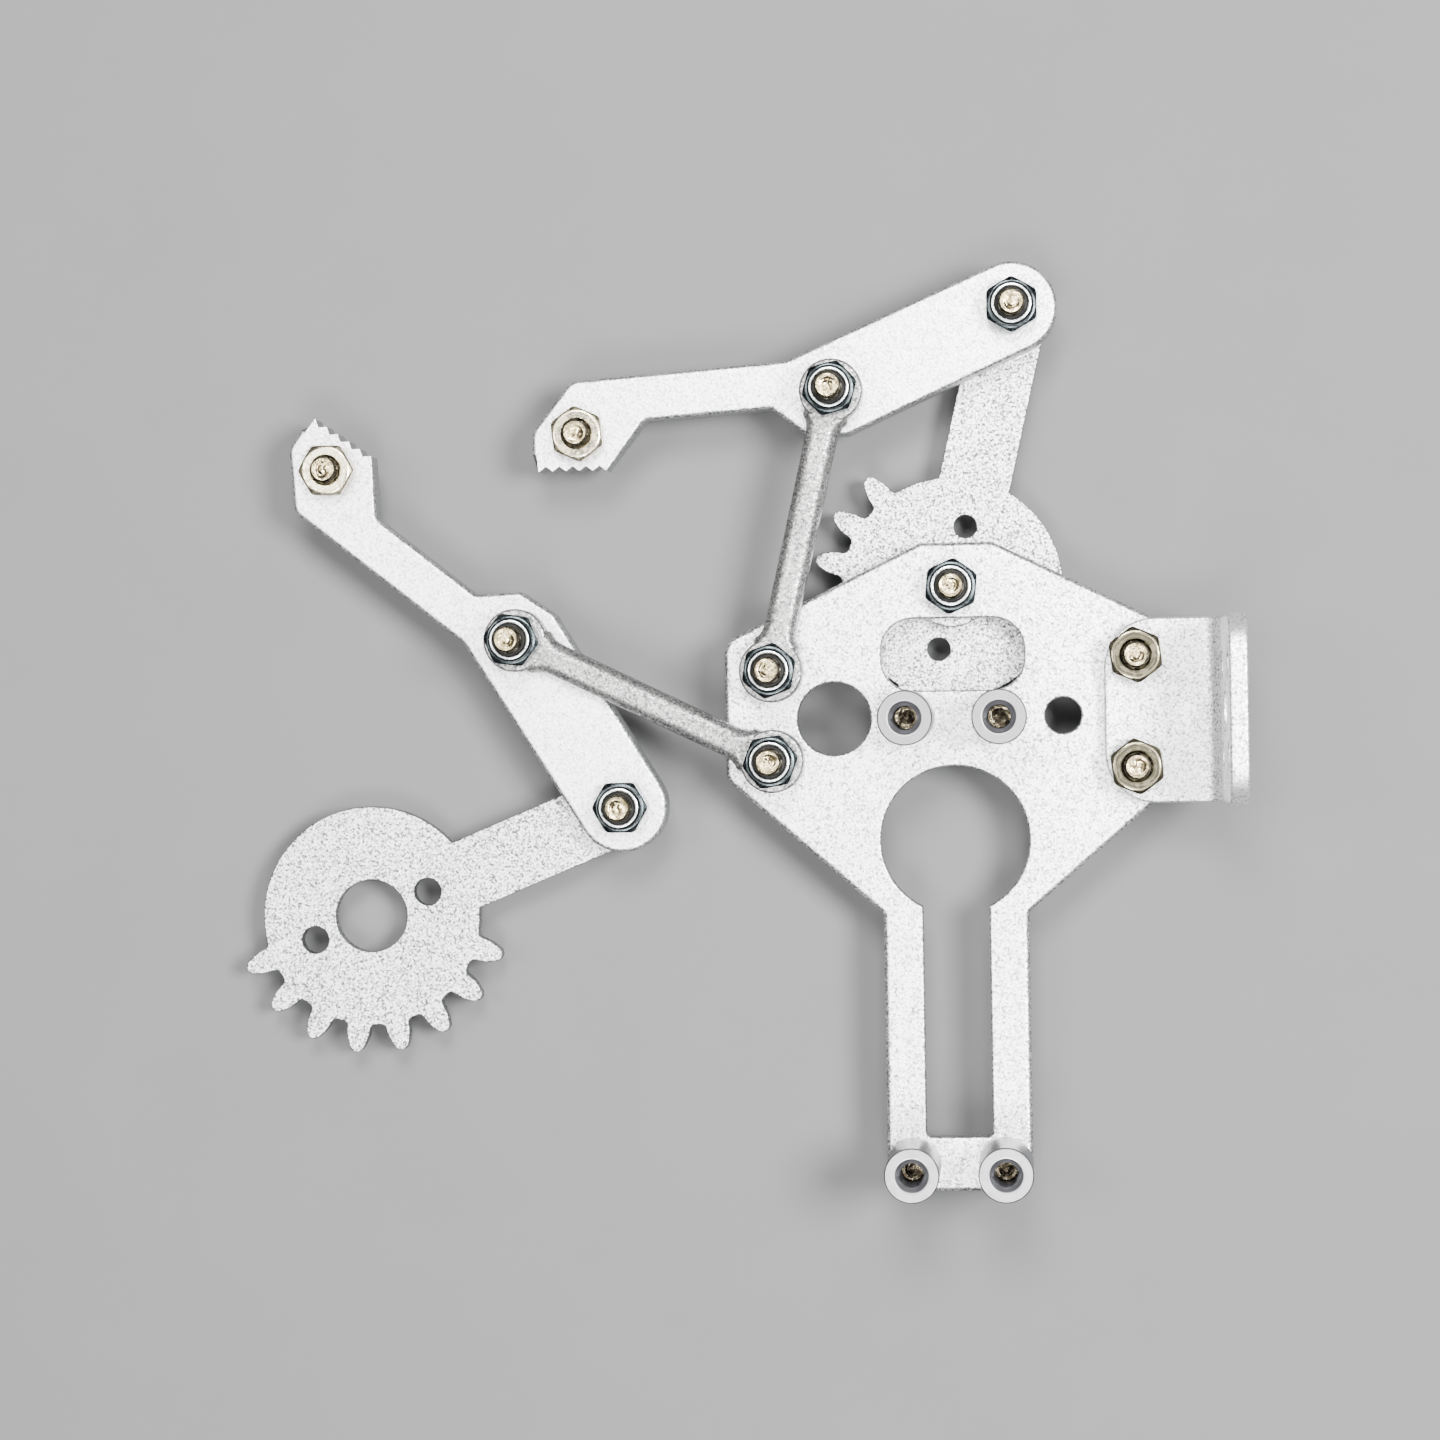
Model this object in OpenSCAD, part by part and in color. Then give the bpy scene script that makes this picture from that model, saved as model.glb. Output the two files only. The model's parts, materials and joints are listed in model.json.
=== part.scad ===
// Two finger gripper for a standard hobby servo, cut from aluminium plate.
// Millimetres. The origin is the centre of the wrist flange's outer face.
// +X points away from the jaws, out of the wrist flange. +Z is the servo's side.
// The upper jaw is held by its idler gear and its link. The driven gear isn't
// on the servo yet, so the lower jaw hangs on its link alone, swung outwards.

/* [Mechanism] */
// Wrist flange face to the line through both gear axes
axis_reach = 31.2; // [30:0.1:36]
// Distance between the two gear axes
gear_centres = 28; // [27:0.5:30]
// Gear axis to link pivot, along the gripper
pivot_ahead = 20; // [18:0.5:21]
// Gear axis to link pivot, towards the midline
pivot_inset = 9; // [8:0.5:9.5]
// Length of the gear arms and of the links, between pivots
arm_length = 31.6; // [30:0.5:34]
// Direction of the upper gear arm, from +X
upper_arm_angle = 77; // [70:1:84]
// Direction of the lower link, from +X
lower_link_angle = 154; // [150:0.5:158]
// Turn of the lower finger out of line with the upper one
lower_finger_turn = -34.4; // [-40:0.2:-30]
// Direction of the driven gear's arm, from its finger pivot to its centre
driven_gear_angle = 202.4; // [195:0.1:210]

/* [Main plate] */
// Thickness of the main plate
plate_thickness = 2; // [1.8:0.1:2.5]
// Midline to the upper corner of the blunt nose
nose_upper = 8.3; // [7.8:0.1:9]
// Midline to the lower corner of the blunt nose
nose_lower = 7; // [6.6:0.1:8]
// Nose edge to the link pivots
nose_ahead = 5.3; // [5:0.1:6]
// Top edge above the idler gear axis
crown_rise = 4.9; // [4.5:0.1:6]
// Front end of the flat top edge, ahead of the gear axes
crown_front = 3.4; // [3:0.1:4]
// Rear end of the flat top edge, behind the gear axes
crown_rear = 4.6; // [4:0.1:6]
// Midline to the upper corner of the tail, under the bracket
tail_upper = 9.3; // [8.6:0.1:9.8]
// Midline to the lower corner of the tail, under the bracket
tail_lower = 8.4; // [8.2:0.1:9.8]
// Drive axis to where the slanted edges meet the servo frame
shoulder_drop = 8.1; // [7:0.1:10]
// Tail edge to the wrist flange face
tail_gap = 7.2; // [6.4:0.1:7.8]
// Diameter of the round opening for the servo's boss
boss_opening = 16.4; // [15:0.2:17]
// Diameter of the front hole
front_hole = 8.1; // [6:0.1:8.4]
// Front hole ahead of the gear axes
front_hole_ahead = 13.2; // [12.5:0.1:13.5]
// Diameter of the rear hole
rear_hole = 4; // [3:0.1:5]
// Rear hole behind the gear axes
rear_hole_behind = 12.1; // [11:0.1:13]
// Length of the window over the idler gear
window_length = 15.8; // [13:0.2:16]
// Height of the window over the idler gear
window_height = 8; // [6:0.2:8]
// Corner radius of the window
window_corner = 3.5; // [2:0.1:3.5]
// Idler gear axis to the middle of the window
window_drop = 7.45; // [7.3:0.05:7.5]

/* [Servo frame] */
// Spacing of the servo screws across the servo
servo_across = 10.2; // [9.5:0.1:10.6]
// Spacing of the servo screws along the servo
servo_along = 49.5; // [48:0.1:51]
// Drive axis to the near pair of servo screws
servo_near = 13.6; // [13.3:0.1:14.2]
// Width of each side bar of the frame
bar_width = 4.4; // [4:0.1:5]
// Width of the slot between the bars
slot_width = 7.3; // [6.5:0.1:7.5]
// Width of the bar across the end of the frame
end_bar_width = 6; // [5.6:0.1:7]
// Outside diameter of the servo standoffs
standoff_diameter = 6; // [5.6:0.1:6.2]
// Height of the servo standoffs
standoff_height = 10; // [8:0.5:12]
// Tapped bore of the servo standoffs
standoff_bore = 2.6; // [2.5:0.05:2.7]
// Width of the chamfer at the mouth of that bore
standoff_chamfer = 0.5; // [0.3:0.1:0.7]

/* [Wrist bracket] */
// Thickness of the bracket
bracket_thickness = 2; // [1.8:0.1:2.5]
// Width of the bracket
bracket_width = 20.3; // [19:0.1:22]
// Length of the foot on the plate
bracket_foot = 14.6; // [14.2:0.1:17]
// Height of the flange above the plate
flange_height = 20; // [19:0.5:24]
// Radius inside the bend
bend_radius = 1.8; // [1:0.1:2]
// Corner radius of the foot
foot_corner = 5.5; // [4:0.1:6]
// Corner radius of the flange
flange_corner = 4; // [3:0.1:5]
// Spacing of the bracket screws
bracket_screw_spacing = 12.2; // [11:0.1:13]
// Bracket screws to the flange face
bracket_screw_reach = 11.2; // [11:0.1:11.6]
// Centre of the flange holes above the plate
wrist_rise = 11.5; // [11.3:0.1:12]
// Circle of the flange screw holes
wrist_circle = 14; // [13.5:0.5:14.5]
// Centre hole of the flange
wrist_bore = 6; // [5:0.5:8]
// Screw holes of the flange
wrist_screw_hole = 3.2; // [3:0.1:3.4]

/* [Gears] */
// Thickness of the gears
gear_thickness = 2; // [1.8:0.1:2.2]
// Room between the plate and the gears for the servo horn
horn_room = 2.1; // [2:0.1:2.6]
// Teeth that are cut
cut_teeth = 8; // [6:1:8]
// Pressure angle of the teeth
pressure_angle = 20; // [20:1:22]
// Height of a tooth outside the pitch circle
addendum = 1.55; // [1.3:0.05:1.6]
// Depth of a tooth inside the pitch circle
dedendum = 1.65; // [1.6:0.05:1.9]
// Play between the teeth along the pitch circle
backlash = 0.15; // [0.1:0.05:0.4]
// Radius of the fillets at the roots of the teeth
root_fillet = 0.6; // [0.3:0.05:0.7]
// Chamfer on the tooth tips
tip_chamfer = 0.3; // [0.1:0.05:0.35]
// Centre hole of the gears
gear_bore = 8.2; // [7:0.1:8.4]
// Spacing of the horn screw holes
horn_hole_spacing = 14; // [13.5:0.1:14.5]
// Diameter of the driven gear's horn screw holes
horn_hole = 3.1; // [2.9:0.1:3.3]
// Diameter of the same two holes in the idler gear, which holds no horn
idler_hole = 2.6; // [2.4:0.1:2.8]
// Width of the gear arms
arm_width = 8; // [7:0.1:8.4]

/* [Fingers] */
// Thickness of the fingers
finger_thickness = 4; // [3.8:0.1:5]
// Width of the fingers between their two pivots
finger_width = 10; // [9:0.1:10.4]
// Width of the slender part of the fingers
shank_width = 5.1; // [4.6:0.1:5.8]
// Reach of the gripping edge ahead of the gear pivot
grip_reach = 52.9; // [51:0.1:56]
// Length of the toothed gripping edge
grip_length = 7.7; // [7.5:0.1:8.2]
// Gripping edge from the gear pivot, towards the midline
grip_drop = 17.1; // [16.7:0.1:17.6]
// Height of the grip over its gripping edge
grip_height = 10; // [9.6:0.1:10.4]
// Gripping edge to the grip's screw
grip_screw_rise = 4; // [3.7:0.1:4.4]
// Front of the gripping edge to the grip's screw
grip_screw_back = 4.6; // [4.4:0.1:5.2]
// Pitch of the gripping teeth
grip_pitch = 1.5; // [1.3:0.1:1.8]
// Depth of the gripping teeth
grip_depth = 0.55; // [0.4:0.05:0.7]
// Link pivot to the start of the slender part, forwards
shoulder_ahead = 5.1; // [4.8:0.1:5.6]
// Link pivot to the start of the slender part, outwards
shoulder_rise = 3.6; // [3.2:0.1:4]
// Front of the gripping edge to the top of the nose
snout_back = 3.8; // [3.4:0.1:4.2]
// Bulge of the nose ahead of the gripping edge
nose_bulge = 0.65; // [0.4:0.05:0.9]
// Gripping edge to the upper end of that bulge
nose_high = 4.4; // [4:0.1:4.8]
// Gripping edge to the lower end of that bulge
nose_low = 1.8; // [1.5:0.1:2.1]
// Rear of the gripping edge to the slender part
heel_back = 4.4; // [4:0.1:4.8]
// Link pivot to where the slender part widens, forwards
throat_ahead = 6.8; // [6.2:0.1:7.4]
// Link pivot to the belly under it
belly_drop = 4.7; // [4.3:0.1:5]
// Link pivot to the front of the belly
belly_ahead = 2.8; // [2.4:0.1:3.2]
// Link pivot to the rear of the belly
belly_behind = 1.8; // [1.4:0.1:2.2]

/* [Links] */
// Thickness of the links
link_thickness = 3; // [2.8:0.1:3.4]
// Width of the links
link_width = 3.5; // [3.2:0.1:4]
// Diameter of the link ends
link_end = 7; // [6.6:0.1:7.4]
// Rounding of the links' upper edges
link_round = 1.3; // [0.5:0.1:1.5]
// Gap under and over a moving link
link_gap = 0.1; // [0.05:0.05:0.2]

/* [Fasteners] */
// Diameter of the screw heads
head_diameter = 5.5; // [5:0.1:5.6]
// Height of the screw heads
head_height = 1.9; // [1.6:0.1:1.95]
// Rounding of the screw heads
head_rim = 0.9; // [0.6:0.1:1.1]
// Depth of the cross recess in the heads
recess_depth = 1.1; // [0.8:0.1:1.2]
// Length of the arms of that cross, from end to end
recess_span = 3; // [2.8:0.1:3.2]
// Width of the arms of that cross
recess_width = 0.9; // [0.7:0.1:1]
// Chamfer on the ends of the screws
screw_lead = 0.3; // [0.2:0.05:0.4]
// Radial play of a screw in a plain hole
hole_play = 0.1; // [0.06:0.01:0.2]
// Radial play of a pivot screw in what turns on it
running_play = 0.06; // [0.04:0.01:0.08]
// Depth to which nut and standoff threads bite into a screw's thread
thread_bite = 0.03; // [0.02:0.01:0.04]
// Width of the nuts across their flats
nut_flats = 5.5; // [5.3:0.1:5.6]
// Slope of the cone that takes off the nuts' corners
nut_cone = 0.6; // [0.5:0.05:0.7]
// Height of the plain nuts
nut_height = 2.4; // [2.2:0.1:2.6]
// Height of the hexagon of the lock nuts
lock_nut_hex = 2.8; // [2.6:0.1:3]
// Height of the lock nuts with their collar
lock_nut_height = 4; // [3.8:0.1:4.2]
// Diameter of the lock nuts' collar
collar_diameter = 4.9; // [4.6:0.1:5]
// Rounding at the top of that collar
collar_round = 0.35; // [0.2:0.05:0.4]
// Opening of the collar, whose lip is rolled in over the nylon ring
collar_opening = 3.7; // [3.5:0.1:3.9]
// Thickness of that lip
collar_lip = 0.3; // [0.2:0.05:0.35]
// Thickness of the nylon ring in the lock nuts
insert_height = 0.9; // [0.7:0.1:1]
// Diameter of the nylon ring
insert_diameter = 4.3; // [4:0.1:4.4]
// Screw length at the idler gear's axis
axis_screw_length = 12; // [12:0.5:14]
// Screw length where a gear arm meets a finger
joint_screw_length = 12; // [12:0.5:14]
// Screw length where a link meets a finger
link_screw_length = 14; // [13:0.5:16]
// Screw length where a link meets the plate
plate_screw_length = 12; // [12:0.5:14]
// Screw length at the fingertips
tip_screw_length = 8; // [8:0.5:10]
// Screw length through the bracket's foot
bracket_screw_length = 8; // [8:0.5:10]
// Screw length under the standoffs
standoff_screw_length = 6; // [5:0.5:8]
// Width of the bush's shoulder over the idler gear
bush_step = 0.3; // [0.2:0.05:0.35]
// Play of the idler gear along its bush, at each face
bush_play = 0.05; // [0.04:0.01:0.08]
// Thickness of the washer under the idler gear
washer_thickness = 0.5; // [0.4:0.1:0.8]
// Diameter of the washer under the idler gear
washer_diameter = 10.4; // [10:0.2:11]

/* [Hidden] */
$fn = 48;

// Metric M3 screws, and a gear of 18 teeth of which a few are cut
screw_diameter = 3;
full_teeth = 18;

// Turns of the nuts as they were tightened
axis_nut_turn = 24;
upper_pivot_turn = 20;
lower_pivot_turn = 9;
upper_joint_turn = 30;
upper_link_turn = 14;
upper_tip_turn = 36;
lower_link_turn = -8;
lower_tip_turn = 0;
lower_joint_turn = 0;
bracket_nut_turn = 37;

// Thread of the standoffs, past the ends of their screws
thread_past_screw = 1.5;

// Corner radii
slot_corner = 0.6;
sharp_corner = 0.05;
edge_break = 0.3;
shoulder_corner = 0.4;
snout_corner = 1.6;
nose_corner = 2;
toe_corner = 0.6;
heel_corner = 0.8;
belly_corner = 1;

// Heights, from the top face of the main plate
plate_top = -wrist_rise;
gear_top = -plate_thickness - horn_room;
gear_bottom = gear_top - gear_thickness;
finger_bottom = -finger_thickness;
link_bottom = link_gap;
link_top = link_bottom + link_thickness;
washer_top = gear_bottom - bush_play;
washer_bottom = washer_top - washer_thickness;

// Points of the mechanism
drive_axis = [-axis_reach, -gear_centres / 2];
idler_axis = [-axis_reach, gear_centres / 2];
finger_base = [-pivot_ahead, -pivot_inset];
finger_base_length = norm(finger_base);
finger_base_angle = atan2(pivot_inset, pivot_ahead);
upper_pivot = idler_axis + finger_base;
lower_pivot = drive_axis + [-pivot_ahead, pivot_inset];
upper_joint = idler_axis + polar(arm_length, upper_arm_angle);
upper_link_joint = upper_joint + finger_base;
lower_link_joint = lower_pivot + polar(arm_length, lower_link_angle);
lower_base_angle = lower_finger_turn - finger_base_angle;
lower_joint = lower_link_joint + polar(finger_base_length, lower_base_angle);
driven_centre = lower_joint + polar(arm_length, driven_gear_angle);

// Main plate
nose_x = -axis_reach - pivot_ahead - nose_ahead;
crown_y = idler_axis[1] + crown_rise;
shoulder_y = drive_axis[1] - shoulder_drop;
frame_half = slot_width / 2 + bar_width;
servo_row = drive_axis[1] + servo_near;
far_row = servo_row - servo_along;
plate_outline = [
    [nose_x, nose_upper],
    [-axis_reach - crown_front, crown_y],
    [-axis_reach + crown_rear, crown_y],
    [-tail_gap, tail_upper],
    [-tail_gap, -tail_lower],
    [-axis_reach + frame_half, shoulder_y],
    [-axis_reach + frame_half, far_row - end_bar_width / 2],
    [-axis_reach - frame_half, far_row - end_bar_width / 2],
    [-axis_reach - frame_half, shoulder_y],
    [nose_x, -nose_lower]
];
plate_corners = [2, 1.2, 1.2, 1, 1, 0.8, 1, 1, 0.8, 2];
servo_points = [
    for (x = [-0.5, 0.5], y = [0, -1])
        [-axis_reach + x * servo_across, servo_row + y * servo_along]
];
bracket_points = [
    for (y = [-0.5, 0.5]) [-bracket_screw_reach, y * bracket_screw_spacing]
];

// Radii
screw_radius = screw_diameter / 2;
plain_hole = screw_radius + hole_play;
running_hole = screw_radius + running_play;
threaded_hole = screw_radius - thread_bite;
head_radius = head_diameter / 2;
nut_radius = nut_flats / 2 / cos(30);
ring_seat = lock_nut_height - insert_height - collar_lip;
overlap = 0.01;

// Gear proportions
pitch_radius = gear_centres / 2;
tooth_pitch = 360 / full_teeth;
base_radius = pitch_radius * cos(pressure_angle);
tip_radius = pitch_radius + addendum;
root_radius = pitch_radius - dedendum;
tooth_play = backlash / 4 * 180 / PI / pitch_radius;
driven_first_tooth = 2 * tooth_pitch;
idler_first_tooth = driven_first_tooth + tooth_pitch / 2;

// Finger outline, from its gear pivot
shank_start = finger_base + [-shoulder_ahead, shoulder_rise];
shank_end = [-grip_reach + snout_back, -grip_drop + grip_height];
shank_slope = (shank_end[1] - shank_start[1]) / (shank_end[0] - shank_start[0]);
shank_drop = shank_width * sqrt(1 + shank_slope * shank_slope);
heel_x = -grip_reach + grip_length + heel_back;
throat_x = finger_base[0] - throat_ahead;
grip_screw = [-grip_reach + grip_screw_back, -grip_drop + grip_screw_rise];
lower_grip = lower_joint + turned([grip_screw[0], -grip_screw[1]], lower_finger_turn);
finger_side = polar(finger_width / 2, finger_base_angle + 90);
grip_count = floor(grip_length / grip_pitch);
grip_land = (grip_length - grip_count * grip_pitch) / 2;

function polar(r, a) = [r * cos(a), r * sin(a)];
function unit(v) = v / norm(v);
function turned(p, a) = [p[0] * cos(a) - p[1] * sin(a), p[0] * sin(a) + p[1] * cos(a)];
function shank_under(x) =
    shank_end[1] + shank_slope * (x - shank_end[0]) - shank_drop;

// Angle between a radius and the involute that starts on the base circle
function involute(a) = tan(a) * 180 / PI - a;
function flank(r) = r > base_radius ? involute(acos(base_radius / r)) : 0;
function fillet(r) =
    let (under = max(0, root_radius + root_fillet - r))
    (root_fillet - sqrt(max(0, root_fillet * root_fillet - under * under))) * 180 / PI / r;
function half_tooth(r) =
    tooth_pitch / 4 - tooth_play + involute(pressure_angle) - flank(r) + fillet(r);

// Arc of radius r that rounds the corner at b, between a and c
function corner(a, b, c, r) =
    r == 0 ? [b] :
    let (
        steps = r > 3 ? 10 : 5,
        u = unit(a - b),
        v = unit(c - b),
        half = acos(u * v) / 2,
        centre = b + unit(u + v) * r / sin(half),
        from = b + u * r / tan(half) - centre,
        to = b + v * r / tan(half) - centre,
        start = atan2(from[1], from[0]),
        swing = atan2(to[1], to[0]) - start,
        turn = swing > 180 ? swing - 360 : swing < -180 ? swing + 360 : swing
    )
    [for (i = [0:steps]) centre + polar(r, start + turn * i / steps)];

// A polygon with each corner rounded by its own radius
function rounded(points, radii) =
    let (n = len(points))
    [
        for (i = [0:n - 1])
            each corner(points[(i + n - 1) % n], points[i], points[(i + 1) % n], radii[i])
    ];

function rectangle(low, high) = [
    low, [high[0], low[1]], high, [low[0], high[1]]
];

// Puts its children at a point of the plan, at a height over the plate's top
module at(point, height) translate([point[0], point[1], plate_top + height]) children();

// Straight hole through a piece that spans the heights low to high
module hole(point, radius, low, high)
    at(point, low - 1) cylinder(r = radius, h = high - low + 2);

// Machine screw, standing on the underside of its head
module screw(length)
    difference() {
        rotate_extrude()
            polygon([
                [0, -head_height],
                [head_radius - head_rim, -head_height],
                [head_radius - head_rim / 3, -head_height + head_rim / 3],
                [head_radius, -head_height + head_rim],
                [head_radius, 0],
                [screw_radius, 0],
                [screw_radius, length - screw_lead],
                [screw_radius - screw_lead, length],
                [0, length]
            ]);
        for (a = [0, 90])
            rotate([0, 0, a])
                translate([-recess_span / 2, -recess_width / 2, -head_height - 1])
                    cube([recess_span, recess_width, recess_depth + 1]);
    }

// Hexagon whose corners are turned down to a cone on the upper side
module hexagon(height, lower_too) {
    slant = nut_radius - nut_flats / 2;
    intersection() {
        cylinder(r = nut_radius, h = height, $fn = 6);
        rotate_extrude()
            polygon([
                [0, 0],
                [lower_too ? nut_flats / 2 : nut_radius, 0],
                [nut_radius, lower_too ? slant * nut_cone : 0.01],
                [nut_radius, height - slant * nut_cone],
                [nut_flats / 2, height],
                [0, height]
            ]);
    }
}

module plain_nut(turn = 0)
    rotate([0, 0, turn])
        difference() {
            hexagon(nut_height, true);
            translate([0, 0, -1]) cylinder(r = threaded_hole, h = nut_height + 2);
        }

// Lock nut: hexagon, round collar and the pocket of its nylon ring
module lock_nut(turn = 0)
    rotate([0, 0, turn])
        difference() {
            union() {
                hexagon(lock_nut_hex, false);
                rotate_extrude()
                    polygon([
                        [0, lock_nut_hex / 2],
                        [collar_diameter / 2, lock_nut_hex / 2],
                        [collar_diameter / 2, lock_nut_height - collar_round],
                        [
                            collar_diameter / 2 - collar_round / 3,
                            lock_nut_height - collar_round / 3
                        ],
                        [collar_diameter / 2 - collar_round, lock_nut_height],
                        [0, lock_nut_height]
                    ]);
            }
            translate([0, 0, -1]) cylinder(r = threaded_hole, h = lock_nut_height + 2);
            translate([0, 0, ring_seat]) cylinder(d = insert_diameter, h = insert_height);
            translate([0, 0, ring_seat]) cylinder(d = collar_opening, h = lock_nut_height);
        }

module nylon_ring()
    translate([0, 0, ring_seat])
        difference() {
            cylinder(d = insert_diameter, h = insert_height);
            translate([0, 0, -1]) cylinder(r = threaded_hole, h = insert_height + 2);
        }

// Rim of the cut teeth, anticlockwise, the first one at first_tooth from +X
function tooth_rim(first_tooth) =
    let (
        radii = [
            root_radius - overlap, root_radius + root_fillet / 8, root_radius + root_fillet / 3,
            root_radius + root_fillet, base_radius, pitch_radius,
            (pitch_radius + tip_radius) / 2, tip_radius - tip_chamfer
        ],
        side = concat(
            [for (r = radii) polar(r, -half_tooth(r))],
            [polar(tip_radius, -half_tooth(tip_radius) / 2)]
        ),
        last = len(side) - 1
    )
    [
        for (k = [0:cut_teeth - 1])
            each [
                for (i = [-last - 1:last])
                    turned(
                        i < 0 ? side[i + last + 1] : [side[last - i][0], -side[last - i][1]],
                        first_tooth + k * tooth_pitch
                    )
            ]
    ];

// Flat gear with its arm along +X and its teeth on the +Y side of it
module gear(first_tooth, screw_hole)
    difference() {
        union() {
            cylinder(r = root_radius, h = gear_thickness, $fn = 96);
            linear_extrude(gear_thickness)
                polygon(concat([[0, 0]], tooth_rim(first_tooth)));
            translate([0, -arm_width / 2, 0]) cube([arm_length, arm_width, gear_thickness]);
            translate([arm_length, 0, 0]) cylinder(d = arm_width, h = gear_thickness);
        }
        translate([0, 0, -1]) cylinder(d = gear_bore, h = gear_thickness + 2);
        for (x = [-0.5, 0.5])
            translate([x * horn_hole_spacing, 0, -1])
                cylinder(d = screw_hole, h = gear_thickness + 2);
        translate([arm_length, 0, -1]) cylinder(r = plain_hole, h = gear_thickness + 2);
    }

// Outline of a finger from its gear pivot, with its jaw along -X
function finger_outline() =
    let (
        end = polar(finger_width / 2, finger_base_angle),
        grip_front = [-grip_reach, -grip_drop],
        grip_teeth = [
            for (i = [0:grip_count - 1])
                each [
                    grip_front + [grip_land + i * grip_pitch, 0],
                    grip_front + [grip_land + (i + 0.5) * grip_pitch, grip_depth]
                ]
        ],
        points = concat(
            [end + finger_side, shank_start, shank_end],
            [grip_front + [-nose_bulge, nose_high], grip_front + [-nose_bulge, nose_low], grip_front],
            grip_teeth,
            [grip_front + [grip_length - grip_land, 0], grip_front + [grip_length, 0]],
            [[heel_x, shank_under(heel_x)], [throat_x, shank_under(throat_x)]],
            [finger_base - [belly_ahead, belly_drop], finger_base + [belly_behind, -belly_drop]],
            [end - finger_side]
        ),
        radii = concat(
            [finger_width / 2 - overlap, shoulder_corner, snout_corner, nose_corner, toe_corner, 0],
            [for (p = grip_teeth) 0],
            [0, 0, heel_corner, heel_corner, belly_corner, belly_corner],
            [finger_width / 2 - overlap]
        )
    )
    rounded(points, radii);

// Finger as the upper jaw has it, with its gear pivot at the origin
module finger()
    difference() {
        linear_extrude(finger_thickness) polygon(finger_outline());
        translate([0, 0, -1]) cylinder(r = running_hole, h = finger_thickness + 2);
        for (p = [finger_base, grip_screw])
            translate([p[0], p[1], -1]) cylinder(r = plain_hole, h = finger_thickness + 2);
    }

// Link with its plate pivot at the origin and its finger pivot on +X
module link()
    difference() {
        union() {
            for (x = [0, arm_length])
                translate([x, 0, 0]) cylinder(d = link_end, h = link_thickness);
            rotate([90, 0, 90])
                linear_extrude(arm_length)
                    polygon(rounded(
                        rectangle([-link_width / 2, 0], [link_width / 2, link_thickness]),
                        [edge_break, edge_break, link_round, link_round]
                    ));
        }
        for (x = [0, arm_length])
            translate([x, 0, -1]) cylinder(r = running_hole, h = link_thickness + 2);
    }

// The base: plate, bracket, standoffs and what is screwed to them

module main_plate()
    color("gainsboro")
        difference() {
            at([0, 0], -plate_thickness)
                linear_extrude(plate_thickness)
                    difference() {
                        polygon(rounded(plate_outline, plate_corners));
                        translate(drive_axis) circle(d = boss_opening, $fn = 96);
                        polygon(rounded(
                            rectangle(
                                [-axis_reach - slot_width / 2, far_row + end_bar_width / 2],
                                [-axis_reach + slot_width / 2, drive_axis[1]]
                            ),
                            [slot_corner, slot_corner, 0, 0]
                        ));
                        translate(idler_axis - [0, window_drop])
                            polygon(rounded(
                                rectangle(
                                    -[window_length, window_height] / 2,
                                    [window_length, window_height] / 2
                                ),
                                [for (i = [1:4]) window_corner]
                            ));
                    }
            for (p = concat([idler_axis, upper_pivot, lower_pivot], servo_points, bracket_points))
                hole(p, plain_hole, -plate_thickness, 0);
            hole([-axis_reach - front_hole_ahead, servo_row], front_hole / 2, -plate_thickness, 0);
            hole([-axis_reach + rear_hole_behind, servo_row], rear_hole / 2, -plate_thickness, 0);
        }

module wrist_bracket() {
    bend_outer = bend_radius + bracket_thickness;
    half = bracket_width / 2;
    color("gainsboro")
        difference() {
            at([0, 0], 0)
                union() {
                    linear_extrude(bracket_thickness)
                        polygon(rounded(
                            rectangle([-bracket_foot, -half], [-bend_outer + overlap, half]),
                            [foot_corner, sharp_corner, sharp_corner, foot_corner]
                        ));
                    translate([-bend_outer, half, bend_outer])
                        rotate([90, 0, 0])
                            rotate([0, 0, -90])
                                rotate_extrude(angle = 90)
                                    translate([bend_radius, 0])
                                        square([bracket_thickness, bracket_width]);
                    translate([-bracket_thickness, 0, 0])
                        rotate([90, 0, 90])
                            linear_extrude(bracket_thickness)
                                polygon(rounded(
                                    rectangle([-half, bend_outer - overlap], [half, flange_height]),
                                    [sharp_corner, sharp_corner, flange_corner, flange_corner]
                                ));
                }
            for (p = bracket_points)
                hole(p, plain_hole, 0, bracket_thickness);
            translate([-bracket_thickness - 1, 0, 0])
                rotate([0, 90, 0]) {
                    cylinder(d = wrist_bore, h = bracket_thickness + 2);
                    for (a = [45:90:315])
                        translate(polar(wrist_circle / 2, a))
                            cylinder(r = wrist_screw_hole / 2, h = bracket_thickness + 2);
                }
        }
}

module bracket_screws()
    color("silver")
        for (p = bracket_points)
            at(p, -plate_thickness) screw(bracket_screw_length);

module bracket_nuts()
    color("palegoldenrod")
        for (p = bracket_points)
            at(p, bracket_thickness) plain_nut(bracket_nut_turn);

module servo_standoffs()
    color("lightgray")
        for (p = servo_points)
            at(p, 0)
                difference() {
                    cylinder(d = standoff_diameter, h = standoff_height);
                    translate([0, 0, -1]) cylinder(d = standoff_bore, h = standoff_height + 2);
                    translate([0, 0, -1])
                        cylinder(
                            r = threaded_hole,
                            h = standoff_screw_length - plate_thickness + thread_past_screw
                        );
                    translate([0, 0, standoff_height - standoff_chamfer])
                        cylinder(
                            d1 = standoff_bore,
                            d2 = standoff_bore + 4 * standoff_chamfer,
                            h = 2 * standoff_chamfer
                        );
                }

module standoff_screws()
    color("silver")
        for (p = servo_points)
            at(p, -plate_thickness) screw(standoff_screw_length);

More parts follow.
